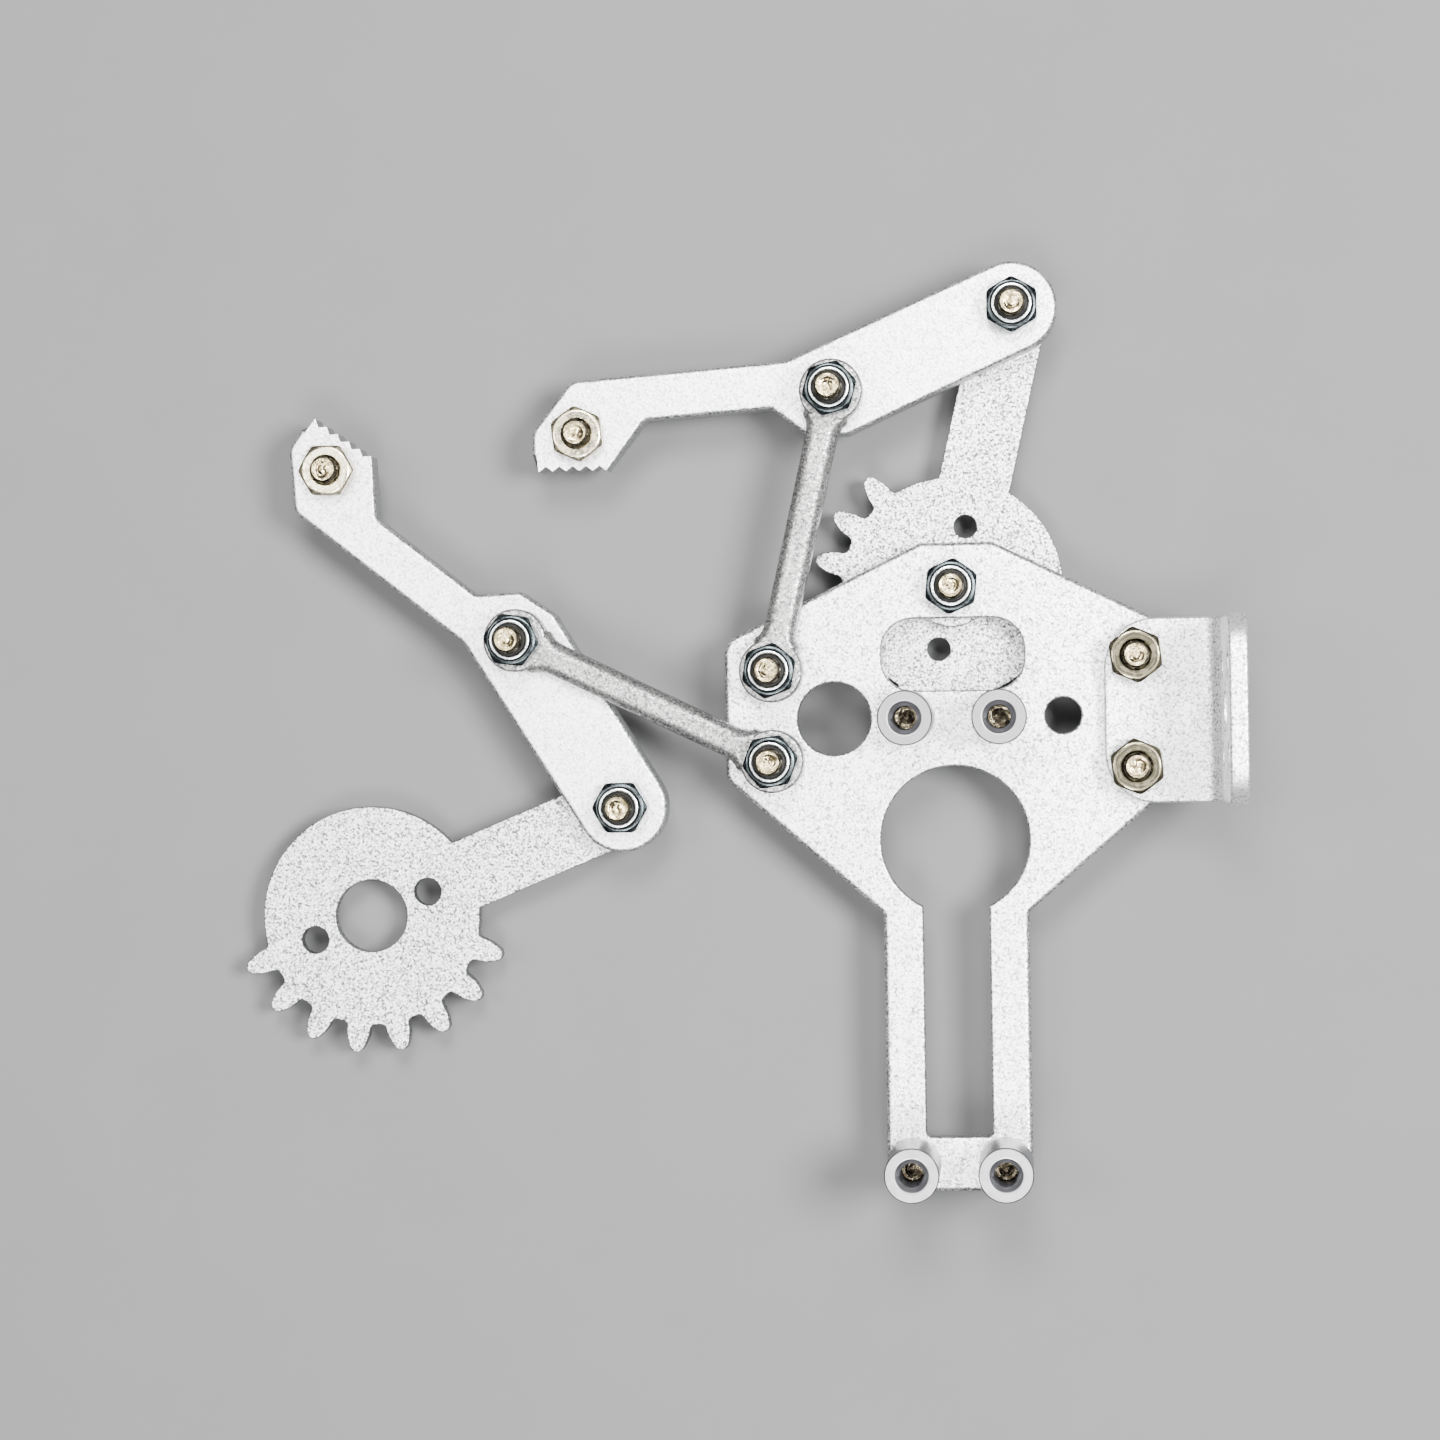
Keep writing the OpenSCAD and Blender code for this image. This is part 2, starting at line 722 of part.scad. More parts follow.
// Stepped bush that the idler gear turns on
module idler_bush()
    color("silver")
        difference() {
            union() {
                at(idler_axis, gear_top + bush_play)
                    cylinder(d = gear_bore + 2 * bush_step, h = horn_room - bush_play);
                at(idler_axis, washer_top)
                    cylinder(d = gear_bore - 2 * running_play, h = gear_top - washer_top + 1);
            }
            hole(idler_axis, plain_hole, washer_top, -plate_thickness);
        }

module idler_washer()
    color("silver")
        difference() {
            at(idler_axis, washer_bottom) cylinder(d = washer_diameter, h = washer_thickness);
            hole(idler_axis, plain_hole, washer_bottom, washer_top);
        }

module idler_axis_screw()
    color("silver") at(idler_axis, washer_bottom) screw(axis_screw_length);

module idler_axis_nut()
    color("slategray") at(idler_axis, 0) lock_nut(axis_nut_turn);

module upper_pivot_screw()
    color("silver") at(upper_pivot, -plate_thickness) screw(plate_screw_length);

module upper_pivot_nut()
    color("slategray") at(upper_pivot, link_top + link_gap) lock_nut(upper_pivot_turn);

module lower_pivot_screw()
    color("silver") at(lower_pivot, -plate_thickness) screw(plate_screw_length);

module lower_pivot_nut()
    color("slategray") at(lower_pivot, link_top + link_gap) lock_nut(lower_pivot_turn);

module base_nylon_rings()
    color("dimgray") {
        at(idler_axis, 0) nylon_ring();
        for (p = [upper_pivot, lower_pivot])
            at(p, link_top + link_gap) nylon_ring();
    }

// The upper jaw

module idler_gear()
    color("lightgray")
        at(idler_axis, gear_bottom)
            rotate([0, 0, upper_arm_angle]) gear(idler_first_tooth, idler_hole);

module upper_joint_screw()
    color("silver") at(upper_joint, gear_bottom) screw(joint_screw_length);

module upper_joint_nut()
    color("slategray") at(upper_joint, link_gap) lock_nut(upper_joint_turn);

module upper_joint_nylon_ring()
    color("dimgray") at(upper_joint, link_gap) nylon_ring();

module upper_finger()
    color("gainsboro") at(upper_joint, finger_bottom) finger();

module upper_link_screw()
    color("silver") at(upper_link_joint, finger_bottom) screw(link_screw_length);

module upper_link_nut()
    color("slategray") at(upper_link_joint, link_top + link_gap) lock_nut(upper_link_turn);

module upper_link_nylon_ring()
    color("dimgray") at(upper_link_joint, link_top + link_gap) nylon_ring();

module upper_tip_screw()
    color("silver") at(upper_joint + grip_screw, finger_bottom) screw(tip_screw_length);

module upper_tip_nut()
    color("palegoldenrod") at(upper_joint + grip_screw, 0) plain_nut(upper_tip_turn);

module upper_link()
    color("lightgray")
        at(upper_pivot, link_bottom) rotate([0, 0, upper_arm_angle]) link();

// The lower jaw, mirrored and swung out on its link

module lower_link()
    color("lightgray")
        at(lower_pivot, link_bottom) rotate([0, 0, lower_link_angle]) link();

module lower_finger()
    color("gainsboro")
        at(lower_joint, finger_bottom)
            rotate([0, 0, lower_finger_turn]) mirror([0, 1, 0]) finger();

module lower_link_screw()
    color("silver") at(lower_link_joint, finger_bottom) screw(link_screw_length);

module lower_link_nut()
    color("slategray") at(lower_link_joint, link_top + link_gap) lock_nut(lower_link_turn);

module lower_link_nylon_ring()
    color("dimgray") at(lower_link_joint, link_top + link_gap) nylon_ring();

module lower_tip_screw()
    color("silver") at(lower_grip, finger_bottom) screw(tip_screw_length);

module lower_tip_nut()
    color("palegoldenrod") at(lower_grip, 0) plain_nut(lower_tip_turn);

module driven_gear()
    color("lightgray")
        at(driven_centre, gear_bottom)
            rotate([0, 0, driven_gear_angle + 180])
                mirror([0, 1, 0]) gear(driven_first_tooth, horn_hole);

module lower_joint_screw()
    color("silver") at(lower_joint, gear_bottom) screw(joint_screw_length);

module lower_joint_nut()
    color("slategray") at(lower_joint, link_gap) lock_nut(lower_joint_turn);

module lower_joint_nylon_ring()
    color("dimgray") at(lower_joint, link_gap) nylon_ring();

main_plate();
wrist_bracket();
bracket_screws();
bracket_nuts();
servo_standoffs();
standoff_screws();
idler_bush();
idler_washer();
idler_axis_screw();
idler_axis_nut();
upper_pivot_screw();
upper_pivot_nut();
lower_pivot_screw();
lower_pivot_nut();
base_nylon_rings();
idler_gear();
upper_joint_screw();
upper_joint_nut();
upper_joint_nylon_ring();
upper_finger();
upper_link_screw();
upper_link_nut();
upper_link_nylon_ring();
upper_tip_screw();
upper_tip_nut();
upper_link();
lower_link();
lower_finger();
lower_link_screw();
lower_link_nut();
lower_link_nylon_ring();
lower_tip_screw();
lower_tip_nut();
driven_gear();
lower_joint_screw();
lower_joint_nut();
lower_joint_nylon_ring();
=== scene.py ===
import json
import math
import bmesh
import bpy
import numpy as np
from mathutils import Matrix, Vector


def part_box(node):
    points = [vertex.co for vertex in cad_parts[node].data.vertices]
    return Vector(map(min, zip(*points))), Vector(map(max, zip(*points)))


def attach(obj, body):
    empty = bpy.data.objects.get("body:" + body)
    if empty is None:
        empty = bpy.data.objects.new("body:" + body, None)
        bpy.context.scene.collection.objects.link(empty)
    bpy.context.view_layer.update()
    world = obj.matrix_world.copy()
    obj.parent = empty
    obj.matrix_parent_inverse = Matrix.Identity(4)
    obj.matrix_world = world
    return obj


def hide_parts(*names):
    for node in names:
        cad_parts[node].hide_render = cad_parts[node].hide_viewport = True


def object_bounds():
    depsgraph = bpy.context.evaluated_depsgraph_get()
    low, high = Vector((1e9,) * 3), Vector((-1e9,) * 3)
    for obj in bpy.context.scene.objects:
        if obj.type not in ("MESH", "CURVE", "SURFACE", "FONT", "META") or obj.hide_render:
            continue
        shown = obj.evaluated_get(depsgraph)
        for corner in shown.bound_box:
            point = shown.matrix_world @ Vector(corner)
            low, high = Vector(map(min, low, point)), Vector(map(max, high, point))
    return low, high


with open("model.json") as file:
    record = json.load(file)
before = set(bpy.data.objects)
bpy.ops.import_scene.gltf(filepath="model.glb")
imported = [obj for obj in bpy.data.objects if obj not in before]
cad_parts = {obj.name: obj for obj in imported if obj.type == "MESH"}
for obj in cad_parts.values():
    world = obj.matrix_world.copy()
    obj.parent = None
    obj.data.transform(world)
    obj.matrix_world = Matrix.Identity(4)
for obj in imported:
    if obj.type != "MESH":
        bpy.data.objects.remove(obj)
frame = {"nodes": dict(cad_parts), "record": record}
cadBox = [list(corner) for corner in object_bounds()]
mm = 0.001
bodyOf = {node: body for body, nodes in frame["record"]["behaviour"]["bodies"].items() for node in nodes}
slotOf = {part["node"]: part["material_slot"] for part in frame["record"]["subparts"]}
print("frame loaded:", len(frame["nodes"]), "nodes")


def addObject(name, data):
    made = bpy.data.objects.new(name, data)
    bpy.context.scene.collection.objects.link(made)
    return made


# camera: its turn is a vector along the axis, as long as the angle in degrees; place, lens and sensor are in mm
camera = {"turnDegrees": (0.23, -4.77, 0.91), "place": (-23.8, 1.0, 387.4), "lens": 90.0, "sensor": 36.0,
          "clipMetres": 0.01}
turn = Vector(camera["turnDegrees"])
lookMatrix = Matrix.Rotation(math.radians(turn.length), 3, turn.normalized()).transposed().to_4x4()
lensData = bpy.data.cameras.new("viewCamera")
lensData.lens = camera["lens"]
lensData.sensor_width = camera["sensor"]
lensData.clip_start = camera["clipMetres"]
viewCamera = addObject("viewCamera", lensData)
viewCamera.matrix_world = Matrix.Translation(Vector(camera["place"]) * mm) @ lookMatrix
bpy.context.scene.camera = viewCamera
print("camera placed")


# small helpers that wire up shader nodes
def addNode(tree, kind, **settings):
    node = tree.nodes.new(kind)
    for name, value in settings.items():
        setattr(node, name, value)
    return node


def plug(tree, source, target):
    # source is a socket or a plain value
    if isinstance(source, bpy.types.NodeSocket):
        tree.links.new(source, target)
    else:
        target.default_value = source


def mathNode(tree, operation, a, b=0.0, c=0.0, clamp=False):
    node = addNode(tree, "ShaderNodeMath", operation=operation, use_clamp=clamp)
    for value, socket in zip((a, b, c), node.inputs):
        plug(tree, value, socket)
    return node.outputs[0]


def times(tree, a, b, clamp=False):
    return mathNode(tree, "MULTIPLY", a, b, clamp=clamp)


def plus(tree, a, b, clamp=False):
    return mathNode(tree, "ADD", a, b, clamp=clamp)


def timesPlus(tree, a, b, c, clamp=False):
    return mathNode(tree, "MULTIPLY_ADD", a, b, c, clamp)


def spread(tree, value, low, high, newLow=0.0, newHigh=1.0):
    # smooth step from newLow to newHigh as value goes from low to high
    node = addNode(tree, "ShaderNodeMapRange", interpolation_type="SMOOTHSTEP")
    for value, socket in zip((value, low, high, newLow, newHigh), node.inputs):
        plug(tree, value, socket)
    return node.outputs[0]


def splitNode(tree, vector):
    node = addNode(tree, "ShaderNodeSeparateXYZ")
    plug(tree, vector, node.inputs[0])
    return node.outputs


def noiseNode(tree, place, scale, detail, rough):
    node = addNode(tree, "ShaderNodeTexNoise")
    plug(tree, place, node.inputs["Vector"])
    plug(tree, scale, node.inputs["Scale"])
    node.inputs["Detail"].default_value = detail
    node.inputs["Roughness"].default_value = rough
    return node.outputs["Fac"]


def blendColours(tree, factor, first, second):
    node = addNode(tree, "ShaderNodeMix", data_type="RGBA")
    plug(tree, factor, node.inputs[0])
    plug(tree, first, node.inputs[6])
    plug(tree, second, node.inputs[7])
    return node.outputs[2]


def uprightness(tree, where):
    # how far the surface faces up or down: 1 on a level face, 0 on a wall
    return mathNode(tree, "ABSOLUTE", splitNode(tree, where.outputs["Normal"])["Z"])


def newGroup(name, inputs, outputs):
    # inputs is a list of (name, kind, value), outputs of (name, kind)
    group = bpy.data.node_groups.new(name, "ShaderNodeTree")
    for socketName, kind, value in inputs:
        made = group.interface.new_socket(name=socketName, in_out="INPUT", socket_type="NodeSocket" + kind)
        made.default_value = value
    for socketName, kind in outputs:
        group.interface.new_socket(name=socketName, in_out="OUTPUT", socket_type="NodeSocket" + kind)
    return group, group.nodes.new("NodeGroupInput").outputs, group.nodes.new("NodeGroupOutput").inputs


# blasted grain: each tiny facet has its own brightness, with soft clouds over it; the walls and the rounded rims are
# painted darker and coarser, a painted shade for the dark surroundings that they reflect, and the brightest grains are
# painted white as glints. A noise here and below is its scale per metre, where that is fixed, its detail and its
# roughness; other pairs are where a smooth step starts and ends.
grainShape = {
    "fineNoise": (3.0, 0.62), "facetsPerGrain": 1.25, "fineShare": 0.6, "fineGain": 2.6, "fineShift": -0.8,
    "cloudNoise": (420.0, 4.0, 0.55), "clouds": (0.45, 0.70),
    "broadNoise": (90.0, 3.0, 0.5), "broad": (0.40, 0.65), "broadShare": 0.6,
    # the steep, rim and wall entries shape the painted shade on walls and rounded rims
    "steep": (0.5, 0.15), "rim": (0.998, 0.80), "steepRimLoss": -0.8, "rimShadeBase": 0.35, "rimShadeDots": 0.65,
    # specks sets which grains get painted white glints
    "middleGrain": 0.5, "dotBase": 0.36, "pits": (0.30, 0.16), "pitDepth": 0.5, "specks": (0.72, 0.90),
    "roughness": (0.15, 0.85), "facetHeight": 0.7, "wallShadeColour": (0.05, 0.057, 0.06, 1),
}


def buildBlastedGrain():
    # Rim and Wall set the painted shade on rounded rims and walls, Sparkle the painted white glints
    inputs = [("Bright", "Color", (0.9, 0.9, 0.9, 1)), ("Dark", "Color", (0.5, 0.5, 0.5, 1)),
              ("Grains per mm", "Float", 3.4), ("Speckle", "Float", 0.5), ("Contrast", "Float", 3.0),
              ("Mottle", "Float", 0.2), ("Rim", "Float", 0.5), ("Wall", "Float", 0.5), ("Painted glints", "Float", 0.5),
              ("Smooth", "Float", 0.35), ("Rough", "Float", 0.6)]
    outputs = [("Colour", "Color"), ("Roughness", "Float"), ("Height", "Float")]
    group, given, result = newGroup("blastedGrain", inputs, outputs)
    g = grainShape
    where = addNode(group, "ShaderNodeTexCoord")
    place = where.outputs["Object"]
    perMetre = times(group, given["Grains per mm"], 1000.0)
    fine = noiseNode(group, place, perMetre, *g["fineNoise"])
    facets = addNode(group, "ShaderNodeTexVoronoi")
    plug(group, place, facets.inputs["Vector"])
    plug(group, times(group, perMetre, g["facetsPerGrain"]), facets.inputs["Scale"])
    facetValue = splitNode(group, facets.outputs["Color"])[0]
    cloud = noiseNode(group, place, *g["cloudNoise"])
    broad = noiseNode(group, place, *g["broadNoise"])
    upright = uprightness(group, where)
    steep = spread(group, upright, *g["steep"])
    # painted shade: the rims darken as they tilt from level, less where they are already steep
    rim = times(group, spread(group, upright, *g["rim"]), given["Rim"])
    rim = times(group, rim, timesPlus(group, steep, g["steepRimLoss"], 1.0))
    wave = timesPlus(group, fine, g["fineGain"], g["fineShift"], clamp=True)
    waveShare = times(group, wave, g["fineShare"])
    grain = plus(group, waveShare, times(group, facetValue, 1 - g["fineShare"]))
    fromMiddle = mathNode(group, "SUBTRACT", g["middleGrain"], grain)
    dots = timesPlus(group, fromMiddle, given["Contrast"], g["dotBase"], clamp=True)
    pits = spread(group, grain, *g["pits"])
    clouds = times(group, spread(group, cloud, *g["clouds"]), given["Mottle"])
    broadStep = spread(group, broad, *g["broad"])
    drift = times(group, broadStep, times(group, given["Mottle"], g["broadShare"]))
    dark = times(group, timesPlus(group, pits, g["pitDepth"], dots), given["Speckle"])
    dark = plus(group, dark, clouds)
    dark = plus(group, dark, drift)
    # painted shade on the rims, speckled by the grain
    rimShadeDots = times(group, rim, timesPlus(group, dots, g["rimShadeDots"], g["rimShadeBase"]))
    dark = plus(group, dark, rimShadeDots, clamp=True)
    colour = blendColours(group, dark, given["Bright"], given["Dark"])
    # painted shade: the walls blend towards a near-black colour
    wallShade = times(group, steep, given["Wall"])
    colour = blendColours(group, wallShade, colour, g["wallShadeColour"])
    # painted glints: the brightest grains blend towards white, except on the shaded walls
    offWallShade = times(group, given["Painted glints"], mathNode(group, "SUBTRACT", 1.0, wallShade))
    specks = times(group, spread(group, grain, *g["specks"]), offWallShade)
    colour = blendColours(group, specks, colour, (1, 1, 1, 1))
    plug(group, colour, result["Colour"])
    plug(group, spread(group, grain, *g["roughness"], given["Rough"], given["Smooth"]), result["Roughness"])
    plug(group, timesPlus(group, facets.outputs["Distance"], g["facetHeight"], fine), result["Height"])
    return group


# slope: 0 where the surface is level, 1 where it is steeper than the end of the range
def buildSlope():
    inputs = [("Level", "Float", 0.99), ("Steep", "Float", 0.75)]
    group, given, result = newGroup("slopeShade", inputs, [("Mask", "Float")])
    upright = uprightness(group, addNode(group, "ShaderNodeTexCoord"))
    plug(group, spread(group, upright, given["Level"], given["Steep"]), result["Mask"])
    return group


# scuffs: short thin strokes and dirt dots that stay rare, as a mask; each stroke is its angle in degrees and the
# scale per metre of a stretched noise
scuffShape = {"strokes": ((25, (900, 140, 500)), (112, (1300, 120, 500)), (70, (600, 420, 500))),
              "shiftPerDegree": (0.013, 0.007), "noise": (1.0, 2.0, 0.6), "step": (0.72, 0.80)}


def buildScuffs():
    group, given, result = newGroup("handlingScuffs", [("Amount", "Float", 0.5)], [("Mask", "Float")])
    place = addNode(group, "ShaderNodeTexCoord").outputs["Object"]
    masks = []
    for angle, size in scuffShape["strokes"]:
        turned = addNode(group, "ShaderNodeMapping")
        turned.inputs["Rotation"].default_value = (0, 0, math.radians(angle))
        turned.inputs["Location"].default_value = (*(shift * angle for shift in scuffShape["shiftPerDegree"]), 0)
        turned.inputs["Scale"].default_value = size
        plug(group, place, turned.inputs["Vector"])
        masks.append(spread(group, noiseNode(group, turned.outputs[0], *scuffShape["noise"]), *scuffShape["step"]))
    both = mathNode(group, "MAXIMUM", masks[0], mathNode(group, "MAXIMUM", masks[1], masks[2]))
    plug(group, times(group, both, given["Amount"], clamp=True), result["Mask"])
    return group


# turned rings: a fine ripple along the profile's own length, read from the piece's UV map, and a cloudy stain
ringShape = {"roundScale": 0.15, "rippleNoise": (1.0, 3.0, 0.6), "ripple": (0.35, 0.7), "rippleShare": 0.6,
             "cloudNoise": (900.0, 3.0, 0.6), "cloud": (0.45, 0.72)}


def buildTurnedRings():
    group, given, result = newGroup("turnedRings", [("Rings per mm", "Float", 9.0), ("Stain", "Float", 0.3)],
                                    [("Mask", "Float"), ("Height", "Float")])
    r = ringShape
    along = splitNode(group, addNode(group, "ShaderNodeUVMap", uv_map="profile").outputs[0])
    joined = addNode(group, "ShaderNodeCombineXYZ")
    plug(group, times(group, along["X"], r["roundScale"]), joined.inputs[0])
    plug(group, times(group, along["Y"], given["Rings per mm"]), joined.inputs[1])
    ripple = noiseNode(group, joined.outputs[0], *r["rippleNoise"])
    place = addNode(group, "ShaderNodeTexCoord").outputs["Object"]
    cloud = noiseNode(group, place, *r["cloudNoise"])
    stain = times(group, spread(group, cloud, *r["cloud"]), given["Stain"])
    rippleMask = times(group, spread(group, ripple, *r["ripple"]), r["rippleShare"])
    plug(group, plus(group, rippleMask, stain, clamp=True), result["Mask"])
    plug(group, ripple, result["Height"])
    return group


# plating: cloudy tint with small dark stains and dents
platingShape = {"cloudNoise": (4.0, 0.6), "fineNoise": (2.0, 0.6), "finePerCloud": 4.0, "stain": (0.55, 0.72),
                "cloud": (0.38, 0.66), "fineHeight": 0.5}


def buildPlating():
    group, given, result = newGroup("platedClouds", [("Clouds per mm", "Float", 1.4), ("Stain", "Float", 0.5)],
                                    [("Mask", "Float"), ("Height", "Float")])
    p = platingShape
    place = addNode(group, "ShaderNodeTexCoord").outputs["Object"]
    perMetre = times(group, given["Clouds per mm"], 1000.0)
    cloud = noiseNode(group, place, perMetre, *p["cloudNoise"])
    fine = noiseNode(group, place, times(group, perMetre, p["finePerCloud"]), *p["fineNoise"])
    stain = times(group, spread(group, fine, *p["stain"]), given["Stain"])
    plug(group, plus(group, spread(group, cloud, *p["cloud"]), stain, clamp=True), result["Mask"])
    plug(group, plus(group, cloud, times(group, fine, p["fineHeight"])), result["Height"])
    return group


groups = {"slope": buildSlope(), "grain": buildBlastedGrain(), "scuffs": buildScuffs(), "rings": buildTurnedRings(),
          "plating": buildPlating()}


def newMaterial(name, metallic):
    material = bpy.data.materials.new(name)
    material.use_nodes = True
    tree = material.node_tree
    shader = tree.nodes["Principled BSDF"]
    shader.inputs["Metallic"].default_value = metallic
    return material, tree, shader


def placeGroup(tree, group, values):
    node = addNode(tree, "ShaderNodeGroup", node_tree=group)
    for name, value in values.items():
        node.inputs[name].default_value = value
    return node.outputs


def dent(tree, shader, height, strength, depth):
    bump = addNode(tree, "ShaderNodeBump")
    bump.inputs["Strength"].default_value = strength
    bump.inputs["Distance"].default_value = depth * mm
    plug(tree, height, bump.inputs["Height"])
    plug(tree, bump.outputs[0], shader.inputs["Normal"])


def blastedMaterial(name, settings):
    material, tree, shader = newMaterial(name, settings["metallic"])
    grain = placeGroup(tree, groups["grain"], settings["grain"])
    scuffs = placeGroup(tree, groups["scuffs"], {"Amount": settings["scuffs"]})
    colour = blendColours(tree, scuffs["Mask"], grain["Colour"], settings["scuffColour"])
    plug(tree, colour, shader.inputs["Base Color"])
    plug(tree, grain["Roughness"], shader.inputs["Roughness"])
    dent(tree, shader, grain["Height"], settings["bump"], settings["depth"])
    return material


def maskedMaterial(name, settings):
    # two colours and two roughnesses, mixed by the mask of rings or of plating; a third, darker colour is painted shade
    # on steep places, or, where a crest width is given, on what lies further than that from the highest ring of the
    # profile
    material, tree, shader = newMaterial(name, settings["metallic"])
    made = placeGroup(tree, groups[settings["pattern"]], settings["values"])
    colour = blendColours(tree, made["Mask"], settings["light"], settings["dark"])
    if "crest" in settings:
        along = splitNode(tree, addNode(tree, "ShaderNodeUVMap", uv_map="profile").outputs[0])
        crestDistance = mathNode(tree, "ABSOLUTE", along["Y"])
        paintedShadeMask = spread(tree, crestDistance, settings["crest"], settings["crest"] + settings["crestBlend"])
    else:
        paintedShadeMask = placeGroup(tree, groups["slope"], {"Level": settings["level"], "Steep": settings["steep"]})["Mask"]
    # painted shade: the third colour goes over steep places, or off the crest
    plug(tree, blendColours(tree, paintedShadeMask, colour, settings["side"]), shader.inputs["Base Color"])
    shader.inputs["Specular IOR Level"].default_value = settings.get("shine", 0.5)
    plug(tree, spread(tree, made["Mask"], 0.0, 1.0, settings["smooth"], settings["rough"]), shader.inputs["Roughness"])
    dent(tree, shader, made["Height"], settings["bump"], settings["depth"])
    return material


blastedPlate = {
    "metallic": 0.9, "scuffs": 0.7, "scuffColour": (0.16, 0.15, 0.14, 1), "bump": 0.6, "depth": 0.05,
    "grain": {"Bright": (0.97, 0.97, 0.97, 1), "Dark": (0.16, 0.16, 0.17, 1), "Grains per mm": 3.6, "Speckle": 0.60,
              # Rim and Wall are the painted shade on rims and walls; Sparkle is the painted white glints
              "Mottle": 0.08, "Rim": 0.85, "Wall": 0.65, "Painted glints": 0.6, "Smooth": 0.36, "Rough": 0.60},
}


def blasted(grain, **settings):
    # the plate's finish with some values of its grain, and some of its own settings, changed
    return dict(blastedPlate, grain=dict(blastedPlate["grain"], **grain), **settings)


blastedBracket = blasted({"Rim": 0.06, "Wall": 0.0})
# painted shade: a darker copy of the plate's finish for the faces of the bracket's rounded edges
bracketRim = blasted({"Bright": (0.42, 0.42, 0.42, 1), "Dark": (0.06, 0.06, 0.06, 1), "Rim": 1.0, "Mottle": 0.6,
                      "Wall": 0.5})
blastedFinger = blasted({"Speckle": 0.36, "Mottle": 0.05, "Rim": 1.0}, scuffs=0.5)
blastedGear = blasted({"Bright": (0.80, 0.80, 0.79, 1), "Dark": (0.09, 0.09, 0.095, 1), "Speckle": 0.92,
                       "Mottle": 0.05, "Painted glints": 0.8, "Rim": 0.6}, scuffs=0.4)
blastedLink = blasted({"Bright": (0.40, 0.39, 0.38, 1), "Dark": (0.10, 0.10, 0.10, 1), "Speckle": 0.7,
                       "Mottle": 0.15, "Rim": 0.35, "Wall": 0.35}, scuffs=0.5)
# side: a darker colour painted as shade on steep places
turnedAluminium = {
    "metallic": 0.95, "pattern": "rings", "values": {"Rings per mm": 9.0, "Stain": 0.35}, "smooth": 0.30, "rough": 0.52,
    "light": (0.36, 0.36, 0.37, 1), "dark": (0.20, 0.20, 0.205, 1), "bump": 0.25, "depth": 0.02,
    "side": (0.20, 0.20, 0.21, 1), "level": 0.98, "steep": 0.80,
}
turnedSteel = dict(turnedAluminium, metallic=1.0, light=(0.40, 0.40, 0.40, 1), dark=(0.25, 0.25, 0.25, 1),
                   side=(0.2, 0.2, 0.2, 1))
# side, here and in the finishes made from this one, is a darker colour painted as shade on steep places
nickelScrew = {
    "metallic": 1.0, "pattern": "plating", "values": {"Clouds per mm": 1.6, "Stain": 0.5}, "smooth": 0.16,
    "rough": 0.34, "light": (0.52, 0.44, 0.26, 1), "dark": (0.22, 0.165, 0.085, 1), "bump": 0.5, "depth": 0.06,
    "side": (0.17, 0.15, 0.11, 1), "level": 0.93, "steep": 0.75,
}
# painted shade: a darker copy of the screw finish for the screws deep in the standoffs
dullScrew = dict(nickelScrew, light=(0.40, 0.34, 0.23, 1), dark=(0.12, 0.095, 0.06, 1))
nickelNut = dict(nickelScrew, light=(0.84, 0.77, 0.58, 1), dark=(0.50, 0.43, 0.28, 1), bump=0.3, depth=0.04, rough=0.38,
                 side=(0.24, 0.21, 0.15, 1), level=0.80, steep=0.50)
# painted shade: a darker copy of the nut finish, with turned rings, for the bracket's nuts
dullNut = dict(nickelNut, pattern="rings", values={"Rings per mm": 5.0, "Stain": 0.5}, light=(0.31, 0.28, 0.19, 1),
               dark=(0.12, 0.105, 0.07, 1), side=(0.12, 0.11, 0.08, 1))
# zinc lock nut: the collar's crest is painted near white as a highlight, and everything off it near black as a painted
# dark reflection
zincNut = dict(nickelScrew, light=(0.92, 0.95, 0.97, 1), dark=(0.66, 0.70, 0.72, 1), side=(0.052, 0.063, 0.067, 1),
               crest=0.13, crestBlend=0.10, bump=0.3, depth=0.04, smooth=0.20, rough=0.36)
nylonFinish = dict(nickelScrew, metallic=0.0, light=(0.012, 0.011, 0.010, 1), dark=(0.006, 0.006, 0.005, 1),
                   side=(0.008, 0.008, 0.008, 1), smooth=0.45, rough=0.65, shine=0.15)
materials = {
    "blasted_plate": blastedMaterial("blastedPlate", blastedPlate),
    "blasted_bracket": blastedMaterial("blastedBracket", blastedBracket),
    "blasted_gear": blastedMaterial("blastedGear", blastedGear),
    "blasted_finger": blastedMaterial("blastedFinger", blastedFinger),
    "blasted_link": blastedMaterial("blastedLink", blastedLink),
    "turned_aluminium": maskedMaterial("turnedAluminium", turnedAluminium),
    "turned_steel": maskedMaterial("turnedSteel", turnedSteel),
    "nickel_screw": maskedMaterial("nickelScrew", nickelScrew),
    "nickel_nut": maskedMaterial("nickelNut", nickelNut),
    "zinc_lock_nut": maskedMaterial("zincLockNut", zincNut),
    "nylon": maskedMaterial("nylonInsert", nylonFinish),
}
extraMaterials = {
    "bracketNuts": maskedMaterial("dullNut", dullNut),
    "standoffScrews": maskedMaterial("dullScrew", dullScrew),
    "bracketRim": blastedMaterial("bracketRim", bracketRim),
}
print("materials made:", len(materials))


def settle(piece, *nodes):
    # gives the piece the finish of its first node's slot and that node's body, and hides the nodes that it stands for
    piece.data.materials.clear()
    piece.data.materials.append(materials[slotOf[nodes[0]]])
    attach(piece, bodyOf[nodes[0]])
    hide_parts(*nodes)


def camel(node):
    first, *rest = node.split("_")
    return first + "".join(word.capitalize() for word in rest)


